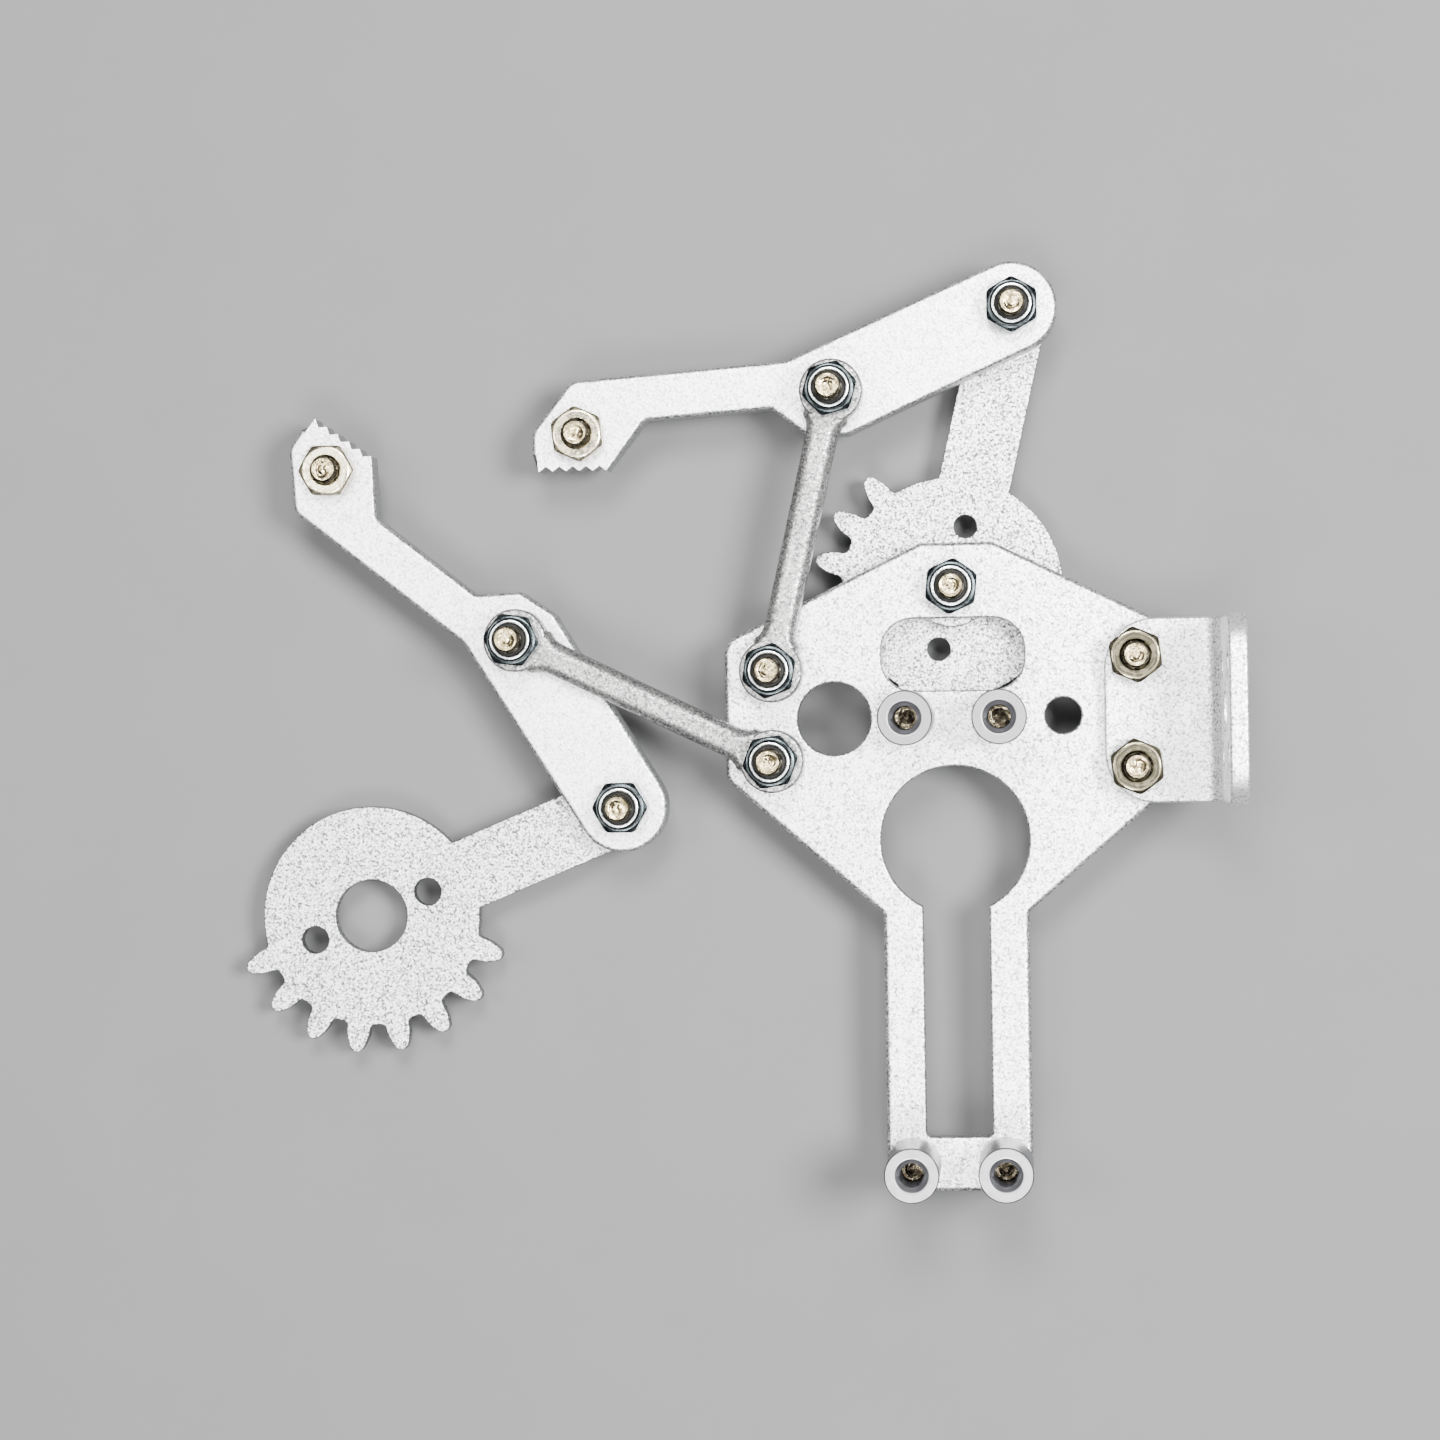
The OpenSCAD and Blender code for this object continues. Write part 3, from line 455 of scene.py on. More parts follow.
def ramp(value, low, high):
    # 0 below low, 1 above high, smooth between
    t = np.clip((value - low) / (high - low), 0, 1)
    return t * t * (3 - 2 * t)


def axisOf(node):
    # middle of the node's box in mm, and its lowest and highest height
    low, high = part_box(node)
    return (low.x + high.x) / 2 / mm, (low.y + high.y) / 2 / mm, low.z / mm, high.z / mm


def outerLoops(edges):
    # follows chains of edges that share points, and keeps the chains nearly as long as the longest: the outline
    nearlyLongest = 0.8
    chains, left = [], set(edges)
    while left:
        chain, front = set(), [left.pop()]
        while front:
            e = front.pop()
            chain.add(e)
            touching = {other for v in e.verts for other in v.link_edges} & left
            left -= touching
            front += touching
        chains.append((sum(e.calc_length() for e in chain), chain))
    longest = max(length for length, chain in chains)
    return {e for length, chain in chains if length > nearlyLongest * longest for e in chain}


# bent sheet, laid flat to have its edges rounded and bent again after. In the bend the way along the sheet is the angle
# times the middle radius, and the depth in the sheet is the outer radius less the radius.
def layFlat(points, bend):
    outer, length = bend["outer"], bend["middle"] * math.pi / 2
    x, y, z = (points - bend["corner"]).T
    foot, flange = x < bend["near"] - outer, z > outer - bend["near"]
    inBend = bend["middle"] * np.arctan2(x + outer, outer - z)
    along = np.where(foot, x + outer, np.where(flange, length + z - outer, inBend))
    depth = np.where(foot, z, np.where(flange, -x, outer - np.hypot(x + outer, outer - z)))
    # the points beside the two seams go onto them, and those near the sheet's side onto the side
    seam = np.where(along > length / 2, length, 0)
    beside = np.abs(along - seam) < bend["near"]
    atSide = beside & (np.abs(y) > y.max() - bend["near"])
    return np.stack([np.where(beside, seam, along), np.where(atSide, np.sign(y) * y.max(), y), depth], -1)


def bendUp(points, bend):
    outer, length = bend["outer"], bend["middle"] * math.pi / 2
    along, y, depth = points.T
    angle = np.clip(along / length, 0, 1) * math.pi / 2
    x = np.minimum(along, 0) - outer + (outer - depth) * np.sin(angle)
    z = np.maximum(along - length, 0) + outer - (outer - depth) * np.cos(angle)
    return np.stack([x, y, z], -1) + bend["corner"]


def moveAll(mesh, move, bend):
    points = np.empty(len(mesh.vertices) * 3)
    mesh.vertices.foreach_get("co", points)
    mesh.vertices.foreach_set("co", (move(points.reshape(-1, 3) / mm, bend) * mm).ravel())
    mesh.update()


def bentSheet(piece, bend):
    # the flat piece with its rounded edges, cut across the bend into steps and bent up
    mesh = bpy.data.meshes.new_from_object(piece.evaluated_get(bpy.context.evaluated_depsgraph_get()))
    work = bmesh.new()
    work.from_mesh(mesh)
    for along in np.linspace(0, bend["middle"] * math.pi / 2, bend["steps"] + 1):
        bmesh.ops.bisect_plane(work, geom=work.verts[:] + work.edges[:] + work.faces[:], dist=1e-7,
                               plane_co=(along * mm, 0, 0), plane_no=(1, 0, 0))
    work.to_mesh(mesh)
    work.free()
    moveAll(mesh, bendUp, bend)
    return mesh


# flat parts: the node's triangles with doubles merged and level faces joined, then every sharp edge rounded. The
# outline of the faces gets the full radius; upright edges, the rims of holes and the rims of small teeth get less.
def dressFlat(node, edge):
    mesh = frame["nodes"][node].data.copy()
    mesh.materials.clear()
    if "bend" in edge:
        low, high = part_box(node)
        bend = dict(edge["bend"], corner=np.array([high.x, 0, low.z]) / mm)
        moveAll(mesh, layFlat, bend)
    work = bmesh.new()
    work.from_mesh(mesh)
    bmesh.ops.remove_doubles(work, verts=work.verts, dist=edge["merge"] * mm)
    levelAngle = math.radians(edge["levelAngle"])
    bmesh.ops.dissolve_limit(work, angle_limit=levelAngle, verts=work.verts, edges=work.edges)
    bmesh.ops.recalc_face_normals(work, faces=work.faces)
    weight = work.edges.layers.float.new("bevel_weight_edge")
    sharp = {e for e in work.edges if e.calc_face_angle(0) > math.radians(edge["angle"])}
    upright = {e for e in sharp if abs((e.verts[0].co - e.verts[1].co).normalized().z) > edge["uprightSlope"]}
    middle = {e: (e.verts[0].co + e.verts[1].co) / 2 for e in sharp}
    toothed = [middle[e] for e in sharp - upright
               if e.calc_length() < edge["smallSide"] * mm and all(upright & set(v.link_edges) for v in e.verts)]
    outline = outerLoops(sharp - upright)
    for e in sharp:
        away = min(((middle[e] - tooth).xy.length / mm for tooth in toothed), default=edge["noTooth"])
        share = edge["uprightShare"] if e in upright else 1.0 if e in outline else edge["holeShare"]
        e[weight] = share * (edge["toothShare"] + (1 - edge["toothShare"]) * ramp(away, *edge["toothReach"]))
        e.smooth = e[weight] > edge["leastWeight"]
    work.to_mesh(mesh)
    work.free()
    mesh.shade_smooth()
    piece = addObject(camel(node) + "Blasted", mesh)
    bevel = piece.modifiers.new("roundEdges", "BEVEL")
    bevel.width = edge["radius"] * mm
    bevel.segments = edge["segments"]
    bevel.limit_method = "WEIGHT"
    bevel.use_clamp_overlap = False
    bevel.loop_slide = False
    # the bevel's faces take the second slot, the painted rim shade, where one is given
    bevel.material = 1 if "shadedRimFinish" in edge else -1
    if "bend" in edge:
        mesh = piece.data = bentSheet(piece, bend)
        piece.modifiers.clear()
    level = piece.modifiers.new("levelFaces", "WEIGHTED_NORMAL")
    level.mode = "FACE_AREA"
    level.weight = 100
    level.keep_sharp = True
    rims = np.zeros(len(mesh.polygons), np.int32)
    mesh.polygons.foreach_get("material_index", rims)
    settle(piece, node)
    if "shadedRimFinish" in edge:
        mesh.materials.append(extraMaterials[edge["shadedRimFinish"]])
        mesh.polygons.foreach_set("material_index", rims)


roundedEdge = {"radius": 0.32, "segments": 4, "angle": 35, "uprightShare": 0.4, "toothShare": 1.0, "smallSide": 1.2,
               "toothReach": (0.8, 2.6), "merge": 0.001, "holeShare": 0.35, "levelAngle": 0.4, "uprightSlope": 0.9,
               "noTooth": 9, "leastWeight": 0.01}
fingerEdge = dict(roundedEdge, radius=0.5, segments=5, uprightShare=0.15, toothShare=0.0, toothReach=(1.3, 1.31),
                  merge=0.03)
gearEdge = dict(roundedEdge, radius=0.14, uprightShare=0.7, holeShare=0.7)
flatEdges = {
    "main_plate": dict(roundedEdge, radius=0.6, segments=5, uprightShare=0.2, holeShare=0.45, toothShare=0.3),
    # the bracket's rounded edges take the painted rim shade
    "wrist_bracket": dict(roundedEdge, radius=0.3, uprightShare=0.8, merge=0.03, shadedRimFinish="bracketRim",
                          bend={"outer": 3.8, "middle": 2.8, "near": 0.06, "steps": 16}),
    "idler_gear": gearEdge,
    "driven_gear": gearEdge,
    "upper_finger": fingerEdge,
    "lower_finger": fingerEdge,
}
for node, edge in flatEdges.items():
    dressFlat(node, edge)
print("flat parts dressed:", len(flatEdges))


def roundAngles(count):
    return np.arange(count) * 2 * math.pi / count


# Rings of points joined into one closed skin. points is an array (rings, points round, 3) in mm, length the way along
# it. The last ring meets the first, or both ends close in a pole.
def gridSkin(points, length, closesOnItself):
    rings, count = points.shape[:2]
    i, j = np.meshgrid(np.arange(rings if closesOnItself else rings - 1), np.arange(count), indexing="ij")
    nextRing, nextPoint = (i + 1) % rings, (j + 1) % count
    corners = [i * count + j, i * count + nextPoint, nextRing * count + nextPoint, nextRing * count + j]
    quads = np.stack(corners, -1).reshape(-1, 4)
    closingLength = 0.1
    lengthNext = np.append(length, length[-1] + closingLength)
    left, right, near, far = j / count, (j + 1) / count, length[i], lengthNext[i + 1]
    uvCorners = [np.stack(pair, -1) for pair in ((left, near), (right, near), (right, far), (left, far))]
    quadUv = np.stack(uvCorners, 2).reshape(-1, 4, 2)
    points = points.reshape(-1, 3)
    if closesOnItself:
        return points, quads, quadUv, None, None
    first, last = len(points), len(points) + 1
    points = np.concatenate([points, points[:count].mean(0)[None], points[-count:].mean(0)[None]])
    k = np.arange(count)
    start = np.stack([np.full(count, first), (k + 1) % count, k], -1)
    base = (rings - 1) * count
    end = np.stack([base + k, base + (k + 1) % count, np.full(count, last)], -1)
    fans = np.concatenate([start, end])
    fanUv = np.zeros((len(fans), 3, 2))
    fanUv[:count, :, 1], fanUv[count:, :, 1] = length[0], length[-1]
    return points, quads, quadUv, fans, fanUv


# Turned skin. radius and height are arrays (rings, points round) in mm: a point is centre + (radius cos angle,
# radius sin angle, height)
def ringSkin(radius, height, centre, closesOnItself):
    angle = roundAngles(radius.shape[1])
    points = np.stack([radius * np.cos(angle), radius * np.sin(angle), height], -1) + np.asarray(centre)
    length = np.concatenate([[0], np.cumsum(np.hypot(np.diff(radius.mean(1)), np.diff(height.mean(1))))])
    return gridSkin(points, length - length[height.mean(1).argmax()], closesOnItself)


def makePiece(name, skins, sharpAngle=40):
    # joins the skins into one mesh; every array goes in whole
    allPoints, loops, starts, uvs, offset, loopCount = [], [], [], [], 0, 0
    for points, quads, quadUv, fans, fanUv in skins:
        allPoints.append(points)
        for faces, uv in ((quads, quadUv), (fans, fanUv)):
            if faces is None:
                continue
            loops.append((faces + offset).ravel())
            starts.append(loopCount + np.arange(len(faces)) * faces.shape[1])
            uvs.append(uv.reshape(-1, 2))
            loopCount += faces.size
        offset += len(points)
    allPoints, loops, starts, uvs = [np.concatenate(a) for a in (allPoints, loops, starts, uvs)]
    mesh = bpy.data.meshes.new(name)
    mesh.vertices.add(len(allPoints))
    mesh.vertices.foreach_set("co", (allPoints * mm).ravel())
    mesh.loops.add(len(loops))
    mesh.loops.foreach_set("vertex_index", loops.astype(np.int32))
    mesh.polygons.add(len(starts))
    mesh.polygons.foreach_set("loop_start", starts.astype(np.int32))
    mesh.update(calc_edges=True)
    mesh.uv_layers.new(name="profile").data.foreach_set("uv", uvs.ravel())
    mesh.validate()
    mesh.shade_smooth()
    mesh.set_sharp_from_angle(angle=math.radians(sharpAngle))
    return addObject(name, mesh)


# Screw: pan head as a superellipse, less a cross of two smooth grooves; shank whose radius drops by a triangle wave
# of height / pitch - angle / turn, which is a helix; tip cut to a cone, its end face dented by a crescent groove, a
# bell curve of the radius times a squared cosine of the angle, and by two slow waves.
screw = {
    "headRadius": 2.75, "headHeight": 1.9, "superellipse": 2.6, "headRings": 34, "headStart": 0.02, "under": 0.06,
    "radius": 1.5, "pitch": 0.5, "threadDepth": 0.27, "threadSlope": 2.5, "threadRoot": 0.15, "fit": 0.03,
    "plain": 0.5, "plainBlend": 0.2, "sunk": 0.2, "tipLead": 0.32, "tipSlope": 0.8, "round": 40, "perPitch": 7,
    "crossArm": 1.45, "crossWidth": 0.46, "crossDepth": 1.05, "armBlend": (0.1, 0.3), "widthBlend": (0.12, 0.2),
    "tipRings": 15, "tipCentre": 0.03, "tipBelow": 0.05, "tipDome": 0.07, "tipBlend": 0.3,
    "groove": 0.20, "grooveAt": 0.52, "grooveWidth": 0.15, "grooveTurn": 2.1, "waves": (0.05, 0.04),
}


def screwSkin(x, y, bottom, top, seed):
    s = screw
    angle = roundAngles(s["round"] * 3)
    t = np.linspace(s["headStart"], 1, s["headRings"])[:, None] * math.pi / 2
    radius = s["headRadius"] * np.sin(t) ** (2 / s["superellipse"]) * np.ones_like(angle)
    height = -s["headHeight"] * np.cos(t) ** (2 / s["superellipse"]) * np.ones_like(angle)
    u, v = np.abs(radius * np.cos(angle)), np.abs(radius * np.sin(angle))
    (armMore, armStep), (widthMore, widthStep) = s["armBlend"], s["widthBlend"]
    arms = [ramp(s["crossWidth"] + widthMore - b, 0, widthStep) * ramp(s["crossArm"] + armMore - a, 0, armStep)
            for a, b in ((u, v), (v, u))]
    height = height + s["crossDepth"] * np.maximum(*arms)
    under = np.array([[s["headRadius"], -0.02], [s["headRadius"] - s["under"], 0.0], [s["radius"] + 0.02, 0.0]])
    radius = np.concatenate([radius, under[:, :1] * np.ones_like(angle)])
    height = np.concatenate([height, under[:, 1:] * np.ones_like(angle)])
    head = ringSkin(radius, height, (x, y, bottom + s["headHeight"]), False)
    length = top - bottom - s["headHeight"]
    angle = roundAngles(s["round"])
    z = np.arange(-s["sunk"], length, s["pitch"] / s["perPitch"])[:, None] * np.ones_like(angle)
    phase = (z / s["pitch"] - angle / (2 * math.pi)) % 1
    wave = np.clip(np.abs(phase - 0.5) * s["threadSlope"] - s["threadRoot"], 0, 1)
    wave = wave * ramp(z, s["plain"] - s["plainBlend"], s["plain"] + s["plainBlend"])
    shank = s["radius"] - s["fit"] - s["threadDepth"] * wave
    shank = np.minimum(shank, s["radius"] - s["tipLead"] + (length - z) * s["tipSlope"])
    tip = np.linspace(1, s["tipCentre"], s["tipRings"])[:, None]
    endRadius = shank[-1] * tip
    bumps = (s["waves"][0] * np.sin(3 * angle + seed) * np.sin(5 * tip + seed)
             + s["waves"][1] * np.cos(2 * angle - 2 * seed + 4 * tip))
    bell = np.exp(-((tip - s["grooveAt"]) / s["grooveWidth"]) ** 2)
    groove = s["groove"] * bell * (0.5 + 0.5 * np.cos(angle - s["grooveTurn"] * seed)) ** 2
    insideTip = ramp(1 - tip, 0, s["tipBlend"]), ramp(tip, 0, s["tipBlend"])
    endHeight = length - s["tipBelow"] - s["tipDome"] * (1 - tip) + (bumps - groove) * insideTip[0] * insideTip[1]
    shank, z = np.concatenate([shank, endRadius]), np.concatenate([z, np.minimum(endHeight, length)])
    return head, ringSkin(shank, z, (x, y, bottom + s["headHeight"]), False)


# Nut outline: flats / 2 / cos(angle from the nearest flat), blended into a circle by the logarithm of a sum of
# exponentials, so that the corners are soft
nut = {"flats": 5.5, "cornerRadius": 3.08, "cornerBlend": 22, "round": 120, "bore": 1.47, "chamfer": 0.577}


def hexRadius(angle):
    fromFlat = (angle + math.pi / 6) % (math.pi / 3) - math.pi / 6
    flat = nut["flats"] / 2 / np.cos(fromFlat)
    blend = nut["cornerBlend"]
    return -np.log(np.exp(-flat * blend) + np.exp(-nut["cornerRadius"] * blend)) / blend


def turnedHexagon(turnDegrees):
    # the angles round a nut, and the radius of its outline at each
    angle = roundAngles(nut["round"])
    return angle, hexRadius(angle - math.radians(turnDegrees) - math.pi / 6)


def chamferFall(radius, flatCircle):
    # how far a face falls by its chamfer where the radius is over its flat circle
    return nut["chamfer"] * np.clip(radius - flatCircle, 0, None)


def stack(rings, angle):
    # each ring is a radius and a height, and either may be one number or a value for each angle
    radius = np.stack([r * np.ones_like(angle) for r, z in rings])
    height = np.stack([z * np.ones_like(angle) for r, z in rings])
    return radius, height


# Plain nut: rings from the bore out along the lower face, up the flats, in along the upper face and down the bore.
# Each face falls by chamfer times what the radius is over its flat circle; the bore opens in a countersink.
plainNut = {"height": 2.4, "flatCircle": 2.56, "countersink": 1.76, "sinkSlope": 0.9, "land": 0.05, "faceRings": 9,
            "edge": (0.05, 0.02, 0.04)}


def plainNutSkin(x, y, bottom, turnDegrees):
    p = plainNut
    angle, outer = turnedHexagon(turnDegrees)
    h, b, k, land = p["height"], nut["bore"], p["countersink"], p["land"]
    sink = (k - b) * p["sinkSlope"]
    lower = [(b, sink), (k, 0.0), (k + land, 0.0)]
    upper = [(k + land, h), (k, h), (b + 0.02, h - sink), (b, h - sink - 0.04)]
    for f in np.linspace(0, 1, p["faceRings"])[1:-1]:
        r = k + land + (outer - k - land) * f
        fall = chamferFall(r, p["flatCircle"])
        lower.append((r, fall))
        upper.insert(0, (r, h - fall))
    fall = chamferFall(outer, p["flatCircle"])
    inward, inside, along = p["edge"]
    lower += [(outer - inward, fall - inside), (outer, fall + along)]
    upper = [(outer, h - fall - along), (outer - inward, h - fall + inside)] + upper
    return ringSkin(*stack(lower + upper, angle), (x, y, bottom), True)


# Lock nut: a hexagon whose upper face meets a round collar, rolled in over the pocket of its ring
# by two quarter ellipses that meet in its crest
lockNut = {"hex": 2.8, "height": 4.0, "flatCircle": 2.60, "collar": 2.45, "crest": 2.0, "shoulder": 0.5, "lip": 1.85,
           "lipHeight": 0.3, "lipRound": 0.12, "pocket": 2.13, "seat": 2.8, "boreChamfer": 0.25, "faceRings": 7,
           "lowerFace": (0.15, 0.97), "upperFace": (0.12, 1), "collarFoot": 0.1, "rollRings": 9}


def lockNutSkin(x, y, bottom, turnDegrees):
    p = lockNut
    angle, outer = turnedHexagon(turnDegrees)
    edge = chamferFall(outer, p["flatCircle"])
    b, h, e = nut["bore"], p["hex"], p["boreChamfer"]
    lower = [(b, e), (b + e, 0.0)]
    lower += [(b + e + (outer - b - e) * f, 0.0) for f in np.linspace(*p["lowerFace"], p["faceRings"])]
    lower += [(outer - 0.04, 0.0), (outer, 0.06)]
    upper = [(outer, h - edge - 0.05), (outer - 0.05, h - edge)]
    for f in np.linspace(*p["upperFace"], p["faceRings"]):
        r = outer + (p["collar"] + p["collarFoot"] - outer) * f
        upper.append((r, h - chamferFall(r, p["flatCircle"])))
    upper += [(p["collar"] + 0.03, h + 0.02), (p["collar"], h + 0.1)]
    roll = np.linspace(0, math.pi / 2, p["rollRings"])
    collarWidth, lipWidth = p["collar"] - p["crest"], p["crest"] - p["lip"]
    upper += [(p["crest"] + collarWidth * math.cos(a), p["height"] - p["shoulder"] * (1 - math.sin(a))) for a in roll]
    upper += [(p["crest"] - lipWidth * math.sin(a), p["height"] - p["lipRound"] * (1 - math.cos(a))) for a in roll[1:]]
    under = p["height"] - p["lipHeight"]
    upper += [(p["lip"], under + 0.03), (p["lip"] + 0.03, under), (p["pocket"], under), (p["pocket"], p["seat"]),
              (b, p["seat"] - 0.02)]
    return ringSkin(*stack(lower + upper, angle), (x, y, bottom), True)


# Nylon ring: squeezed up round the thread, so its top is a shallow hollow with a raised inner lip
nylon = {"round": 64, "profile": [(1.42, 0.0), (2.11, 0.0), (2.11, 0.82), (2.05, 0.88), (1.9, 0.86), (1.72, 0.80),
                                  (1.56, 0.82), (1.46, 0.89), (1.42, 0.86)]}


def nylonSkin(x, y, bottom):
    return ringSkin(*stack(nylon["profile"], roundAngles(nylon["round"])), (x, y, bottom), True)


# where each solid of a node with several stands: axes picked far apart, then moved a few times to the middle of the
# points nearest to each
def axesIn(node, count):
    rounds = 8
    co = np.empty(len(frame["nodes"][node].data.vertices) * 3)
    frame["nodes"][node].data.vertices.foreach_get("co", co)
    co = co.reshape(-1, 3) / mm
    picked = co[:1, :2]
    for _ in range(count - 1):
        away = np.linalg.norm(co[:, None, :2] - picked[None], axis=2).min(1)
        picked = np.concatenate([picked, co[away.argmax()][None, :2]])
    for _ in range(rounds):
        label = np.linalg.norm(co[:, None, :2] - picked[None], axis=2).argmin(1)
        picked = np.stack([(co[label == k, :2].min(0) + co[label == k, :2].max(0)) / 2 for k in range(count)])
    return [(*picked[k], co[label == k, 2].min(), co[label == k, 2].max()) for k in range(count)]


# the seed shifts the dents of a screw's tip
tipSeeds = {"single": 1.7, "several": 2.3}
singleScrews = ["idler_axis", "upper_pivot", "lower_pivot", "upper_joint", "upper_link", "lower_link", "lower_joint",
                "upper_tip", "lower_tip"]
for seed, stem in enumerate(singleScrews):
    node = stem + "_screw"
    settle(makePiece(camel(node) + "Threaded", screwSkin(*axisOf(node), seed * tipSeeds["single"])), node)
severalScrews = {"bracket_screws": 2, "standoff_screws": 4}
for node, count in severalScrews.items():
    skins = [skin for seed, place in enumerate(axesIn(node, count))
             for skin in screwSkin(*place, seed * tipSeeds["several"])]
    piece = makePiece(camel(node) + "Threaded", skins)
    settle(piece, node)
# the standoffs' screws, made last, get a darker copy of the screw finish, a painted shade for their ends deep in the
# standoffs' bores
piece.data.materials[0] = extraMaterials["standoffScrews"]
print("screws turned:", len(singleScrews) + sum(severalScrews.values()))

# how far each nut is turned, in degrees
lockTurns = {"idler_axis": 24, "upper_pivot": 20, "lower_pivot": 9, "upper_joint": 30, "upper_link": 14,
             "lower_link": -8, "lower_joint": 0}
plainTurns = {"upper_tip": 36, "lower_tip": 0}
bracketNutTurn = 37
ownRings = ("upper_joint", "upper_link", "lower_link", "lower_joint")
baseRings = []
for stem, degrees in lockTurns.items():
    node = stem + "_nut"
    x, y, low, _ = axisOf(node)
    settle(makePiece(camel(node) + "Locking", [lockNutSkin(x, y, low, degrees)]), node)
    ring = nylonSkin(x, y, low + lockNut["seat"])
    if stem in ownRings:
        settle(makePiece(camel(stem) + "NylonInsert", [ring]), stem + "_nylon_ring")
    else:
        baseRings.append(ring)
settle(makePiece("baseNylonInserts", baseRings), "base_nylon_rings")
for stem, degrees in plainTurns.items():
    node = stem + "_nut"
    x, y, low, _ = axisOf(node)
    settle(makePiece(camel(node) + "Plain", [plainNutSkin(x, y, low, degrees)]), node)
bracketPlaces = axesIn("bracket_nuts", 2)
bracketSkins = [plainNutSkin(x, y, low, bracketNutTurn) for x, y, low, _ in bracketPlaces]
bracketNuts = makePiece("bracketNutsPlain", bracketSkins)
settle(bracketNuts, "bracket_nuts")
# the bracket's nuts take the darker copy, a painted shade
bracketNuts.data.materials[0] = extraMaterials["bracketNuts"]
print("nuts made:", len(lockTurns) + len(plainTurns) + len(bracketPlaces))


# Standoff: a turned sleeve, its profile run once round: face, chamfers, side, mouth cone and tapped bore, whose
# radius grows by a triangle wave along the same helix as the screws
standoff = {"radius": 3.0, "bore": 1.3, "edge": 0.14, "mouth": 1.85, "mouthDepth": 0.55, "threadDepth": 0.16,
            "threadSlope": 3, "threadStart": 0.06, "threadEnd": 0.3, "pitch": 0.5, "perPitch": 6, "round": 72,
            "foot": 0.3, "sideInset": 0.05, "sideRings": 12, "faceInset": 0.03, "faceRings": 8}


def standoffSkin(x, y, bottom, top):
    s, h = standoff, top - bottom
    angle = roundAngles(s["round"])
    outside = [(s["bore"] + s["foot"], 0), (s["radius"] - s["edge"], 0), (s["radius"], s["edge"])]
    sideInset, faceInset = s["sideInset"], s["faceInset"]
    outside += [(s["radius"], z) for z in np.linspace(s["edge"] + sideInset, h - s["edge"] - sideInset, s["sideRings"])]
    outside += [(s["radius"], h - s["edge"]), (s["radius"] - s["edge"], h)]
    face = np.linspace(s["radius"] - s["edge"] - faceInset, s["mouth"] + faceInset, s["faceRings"])
    outside += [(r, h) for r in face]
    outside += [(s["mouth"], h - 0.01), (s["bore"] + 0.05, h - s["mouthDepth"])]
    radius, height = stack(outside, angle)
    z = np.arange(h - s["mouthDepth"] - s["threadStart"], s["threadEnd"], -s["pitch"] / s["perPitch"])
    z = z[:, None] * np.ones_like(angle)
    phase = (z / s["pitch"] - angle / (2 * math.pi)) % 1
    bore = s["bore"] + s["threadDepth"] * np.clip(1 - np.abs(phase - 0.5) * s["threadSlope"], 0, 1)
    return ringSkin(np.concatenate([radius, bore]), np.concatenate([height, z]), (x, y, bottom), True)


standoffSkins = [standoffSkin(*place) for place in axesIn("servo_standoffs", 4)]
settle(makePiece("servoStandoffsTurned", standoffSkins), "servo_standoffs")


# Sleeve: a turned profile run once round its axis
def sleeve(x, y, profile):
    pointsRound = 96
    return ringSkin(*stack(profile, roundAngles(pointsRound)), (x, y, 0), True)


# Link: a bar between two bosses. The bar's section is a rectangle with a quarter circle at each corner, carried along
# the line of the pivots; its half width grows towards each boss by an exponential of the distance from it. The bosses
# are sleeves whose upper rim is a quarter circle.
link = {"halfWidth": 1.75, "topRound": 1.3, "bottomRound": 0.15, "flare": 0.75, "flareLength": 0.55, "flareLead": 0.25,
        "boss": 3.5, "bore": 1.6, "edge": 0.1, "rim": 0.32, "rimRings": 7, "start": 2.3, "step": 0.04,
        "endZone": (3, 22), "middleZone": (3.6, 30), "cornerPoints": 9, "sharpAngle": 30}


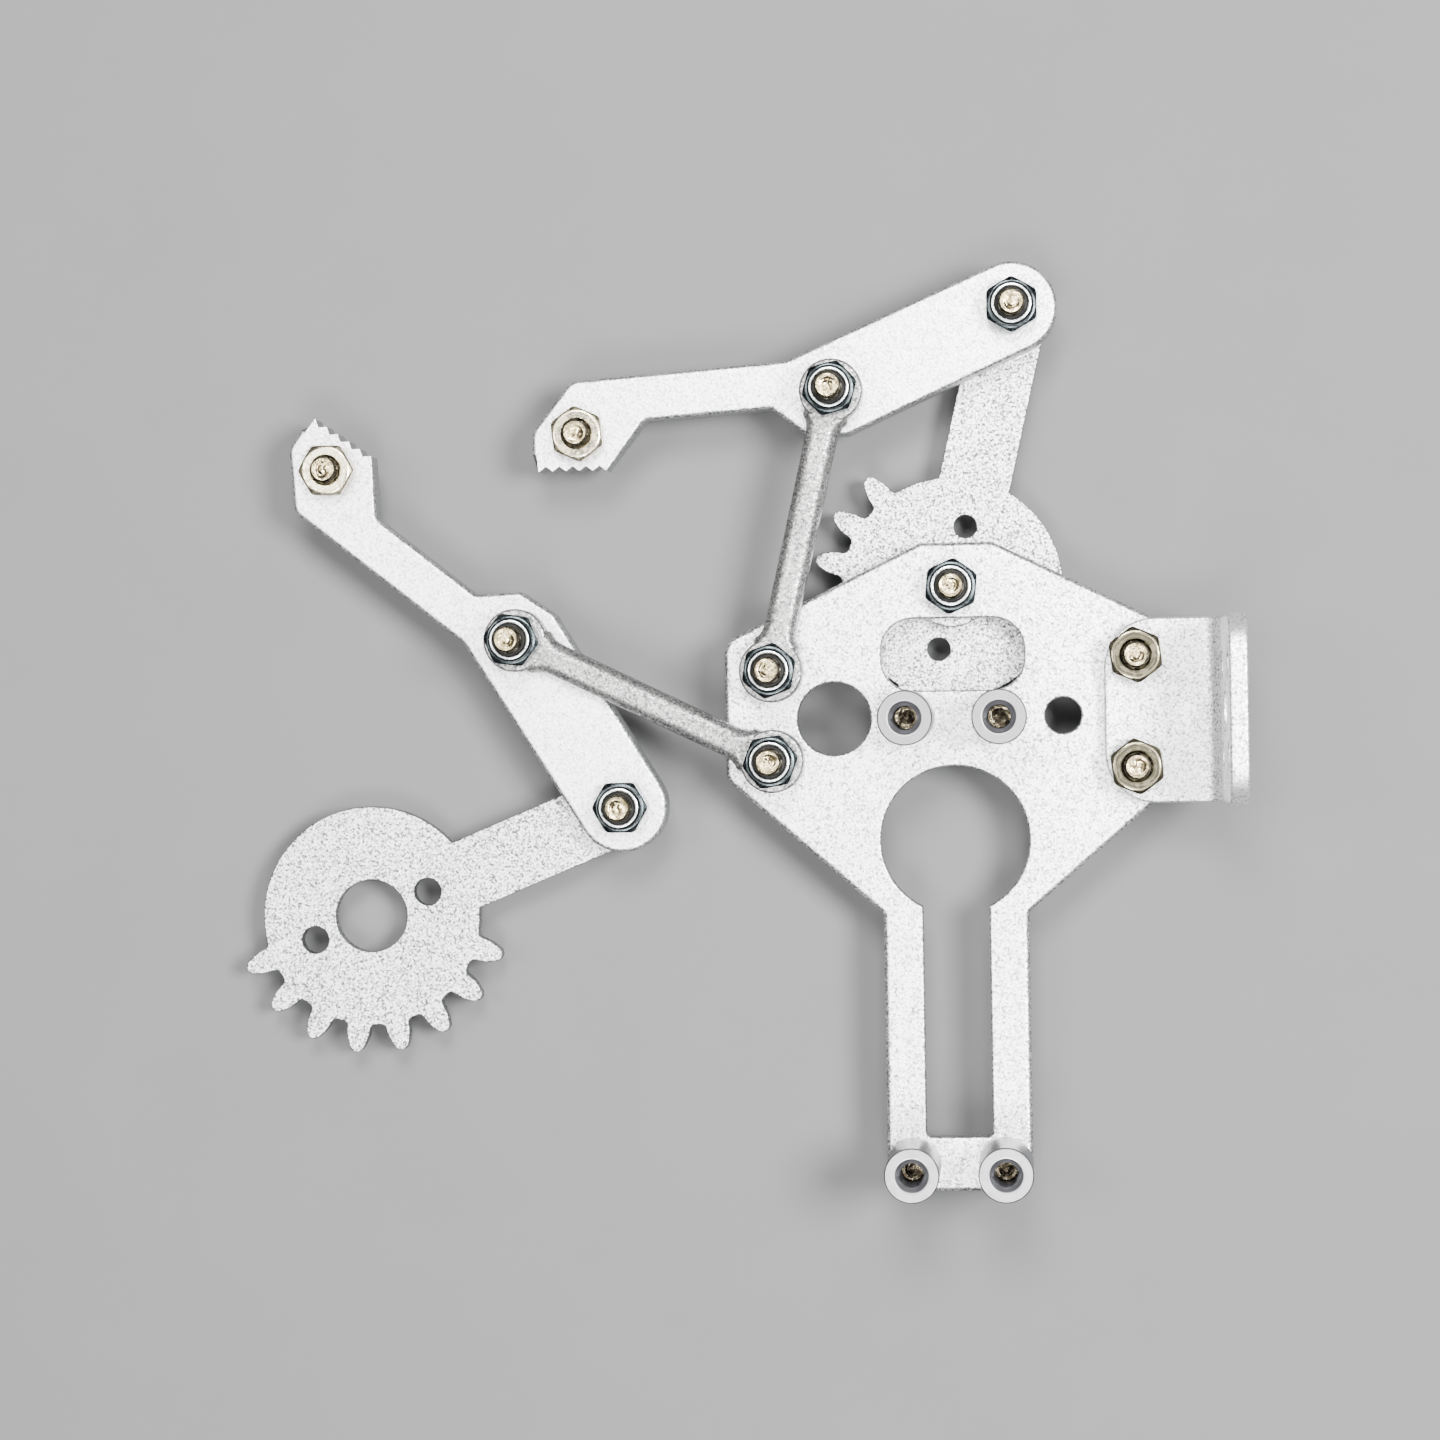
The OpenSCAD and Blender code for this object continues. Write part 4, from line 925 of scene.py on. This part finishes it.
def linkSkins(node, fromNode, toNode):
    k = link
    start, end = np.array(axisOf(fromNode)[:2]), np.array(axisOf(toNode)[:2])
    bottom, top = (corner.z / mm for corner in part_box(node))
    reach = np.linalg.norm(end - start)
    along = (end - start) / reach
    across = np.array([-along[1], along[0]])
    (zoneEnd, zoneRings), (middleStart, middleRings) = k["endZone"], k["middleZone"]
    s = np.concatenate([
        np.linspace(k["start"], k["boss"] + zoneEnd, zoneRings),
        np.linspace(k["boss"] + middleStart, reach - k["boss"] - middleStart, middleRings),
        np.linspace(reach - k["boss"] - zoneEnd, reach - k["start"], zoneRings)])
    nearest = np.minimum(s, reach - s) - k["boss"] + k["flareLead"]
    half = k["halfWidth"] + k["flare"] * np.exp(-np.clip(nearest, 0, None) / k["flareLength"])
    quarter = np.linspace(0, math.pi / 2, k["cornerPoints"])
    corners = [(1, 1, k["topRound"]), (-1, 1, k["topRound"]), (-1, -1, k["bottomRound"]), (1, -1, k["bottomRound"])]
    sides, ups = [], []
    for turns, (sideSign, upSign, r) in enumerate(corners):
        angle = quarter + turns * math.pi / 2
        sides.append(sideSign * (half[:, None] - r) + r * np.cos(angle))
        ups.append((top - r if upSign > 0 else bottom + r) + r * np.sin(angle) + 0 * half[:, None])
    side, up = np.concatenate(sides, 1), np.concatenate(ups, 1)
    plan = start + s[:, None, None] * along + side[..., None] * across
    up = np.clip(up, bottom + k["step"], top - k["step"])
    bar = gridSkin(np.concatenate([plan, up[..., None]], -1), s, False)
    r, e = k["rim"], k["edge"]
    rimAngles = np.linspace(0, math.pi / 2, k["rimRings"])
    profile = [(k["bore"], bottom + e), (k["bore"] + e, bottom), (k["boss"] - e, bottom), (k["boss"], bottom + e)]
    profile += [(k["boss"] - r + r * math.cos(a), top - r + r * math.sin(a)) for a in rimAngles]
    profile += [(k["bore"] + e, top), (k["bore"], top - e)]
    return [bar, sleeve(*start, profile), sleeve(*end, profile)]


for stem in ("upper", "lower"):
    skins = linkSkins(stem + "_link", stem + "_pivot_screw", stem + "_link_screw")
    settle(makePiece(stem + "LinkBlasted", skins, link["sharpAngle"]), stem + "_link")


# Bush and washer: plain turned profiles, each edge broken by a small chamfer
bush = {"body": 4.04, "bore": 1.56, "edge": 0.12, "flange": 4.4, "flangeHeight": 2.05}
washer = {"bore": 1.6, "radius": 5.2, "edge": 0.08}


def bushProfile(low, high):
    b, e, step = bush, bush["edge"], high - bush["flangeHeight"]
    body = [(b["bore"], low + e), (b["bore"] + e, low), (b["body"] - e, low), (b["body"], low + e),
            (b["body"], step - 0.02), (b["body"] + 0.02, step)]
    flange = [(b["flange"] - e, step), (b["flange"], step + e), (b["flange"], high - e), (b["flange"] - e, high),
              (b["bore"] + e, high), (b["bore"], high - e)]
    return body + flange


def washerProfile(low, high):
    b, r, e = washer["bore"], washer["radius"], washer["edge"]
    return [(b, low + e), (b + e, low), (r - e, low), (r, low + e), (r, high - e), (r - e, high), (b + e, high),
            (b, high - e)]


for node, profile in (("idler_bush", bushProfile), ("idler_washer", washerProfile)):
    x, y, low, high = axisOf(node)
    piece = makePiece(camel(node) + "Turned", [sleeve(x, y, profile(low, high))])
    settle(piece, node)
    if node == "idler_bush":
        # its shoulder looks as blasted as the gear round it
        piece.data.materials[0] = materials["blasted_gear"]
print("standoffs, links, bush and washer made")


# floor, a plain pale sheet, and soft studio light: four soft boxes round the object and a sky that is dim at the
# horizon. Places and sizes are in metres, and glow is the sine of the height where the sky's glow starts and ends.
studio = {"middle": (-0.05, 0), "floorSize": 1.6, "floorColour": (0.13, 0.13, 0.13, 1),
          "floorCloud": (0.117, 0.117, 0.117, 1), "cloudNoise": (60.0, 4.0, 0.6),
          "floorRough": 0.75, "sky": (0.95, 0.97, 1.0, 1), "horizonStrength": 0.05, "zenithStrength": 0.4,
          "glow": (0.1, 0.95), "seenStrength": 0.7, "aimHeight": -0.01}
floorHeight = cadBox[0][2]
bpy.ops.mesh.primitive_plane_add(size=studio["floorSize"], location=(*studio["middle"], floorHeight))
floor = bpy.context.object
floor.name = "studioFloor"
floorMaterial, floorTree, floorShader = newMaterial("paleFloor", 0.0)
floorPlace = addNode(floorTree, "ShaderNodeTexCoord").outputs["Object"]
floorNoise = noiseNode(floorTree, floorPlace, *studio["cloudNoise"])
floorBlend = blendColours(floorTree, floorNoise, studio["floorColour"], studio["floorCloud"])
plug(floorTree, floorBlend, floorShader.inputs["Base Color"])
floorShader.inputs["Roughness"].default_value = studio["floorRough"]
floor.data.materials.append(floorMaterial)

world = bpy.data.worlds.new("studioWorld")
bpy.context.scene.world = world
world.use_nodes = True
skyTree = world.node_tree
direction = splitNode(skyTree, addNode(skyTree, "ShaderNodeTexCoord").outputs["Generated"])
glow = spread(skyTree, direction["Z"], *studio["glow"], studio["horizonStrength"], studio["zenithStrength"])
seen = addNode(skyTree, "ShaderNodeLightPath").outputs["Is Camera Ray"]
extra = times(skyTree, seen, mathNode(skyTree, "SUBTRACT", studio["seenStrength"], glow))
background = skyTree.nodes["Background"]
background.inputs["Color"].default_value = studio["sky"]
plug(skyTree, plus(skyTree, glow, extra), background.inputs["Strength"])

lamps = {
    "rightSoftBox": {"place": (0.28, 0.04, 0.58), "size": 0.22, "power": 13.0, "colour": (0.99, 0.995, 1.0)},
    "leftSoftBox": {"place": (-0.35, 0.05, 0.60), "size": 0.24, "power": 2.5, "colour": (1.0, 0.995, 0.98)},
    "backSoftBox": {"place": (-0.05, 0.31, 0.60), "size": 0.24, "power": 7.0, "colour": (1.0, 1.0, 1.0)},
    "frontSoftBox": {"place": (-0.05, -0.28, 0.60), "size": 0.24, "power": 4.4, "colour": (1.0, 1.0, 1.0)},
}
for name, lamp in lamps.items():
    light = bpy.data.lights.new(name, "AREA")
    light.shape = "DISK"
    light.size = lamp["size"]
    light.energy = lamp["power"]
    light.color = lamp["colour"]
    holder = addObject(name, light)
    place = Vector(lamp["place"])
    aim = Vector((*studio["middle"], studio["aimHeight"])) - place
    holder.matrix_world = Matrix.Translation(place) @ aim.to_track_quat("-Z", "Y").to_matrix().to_4x4()
print("studio lit")
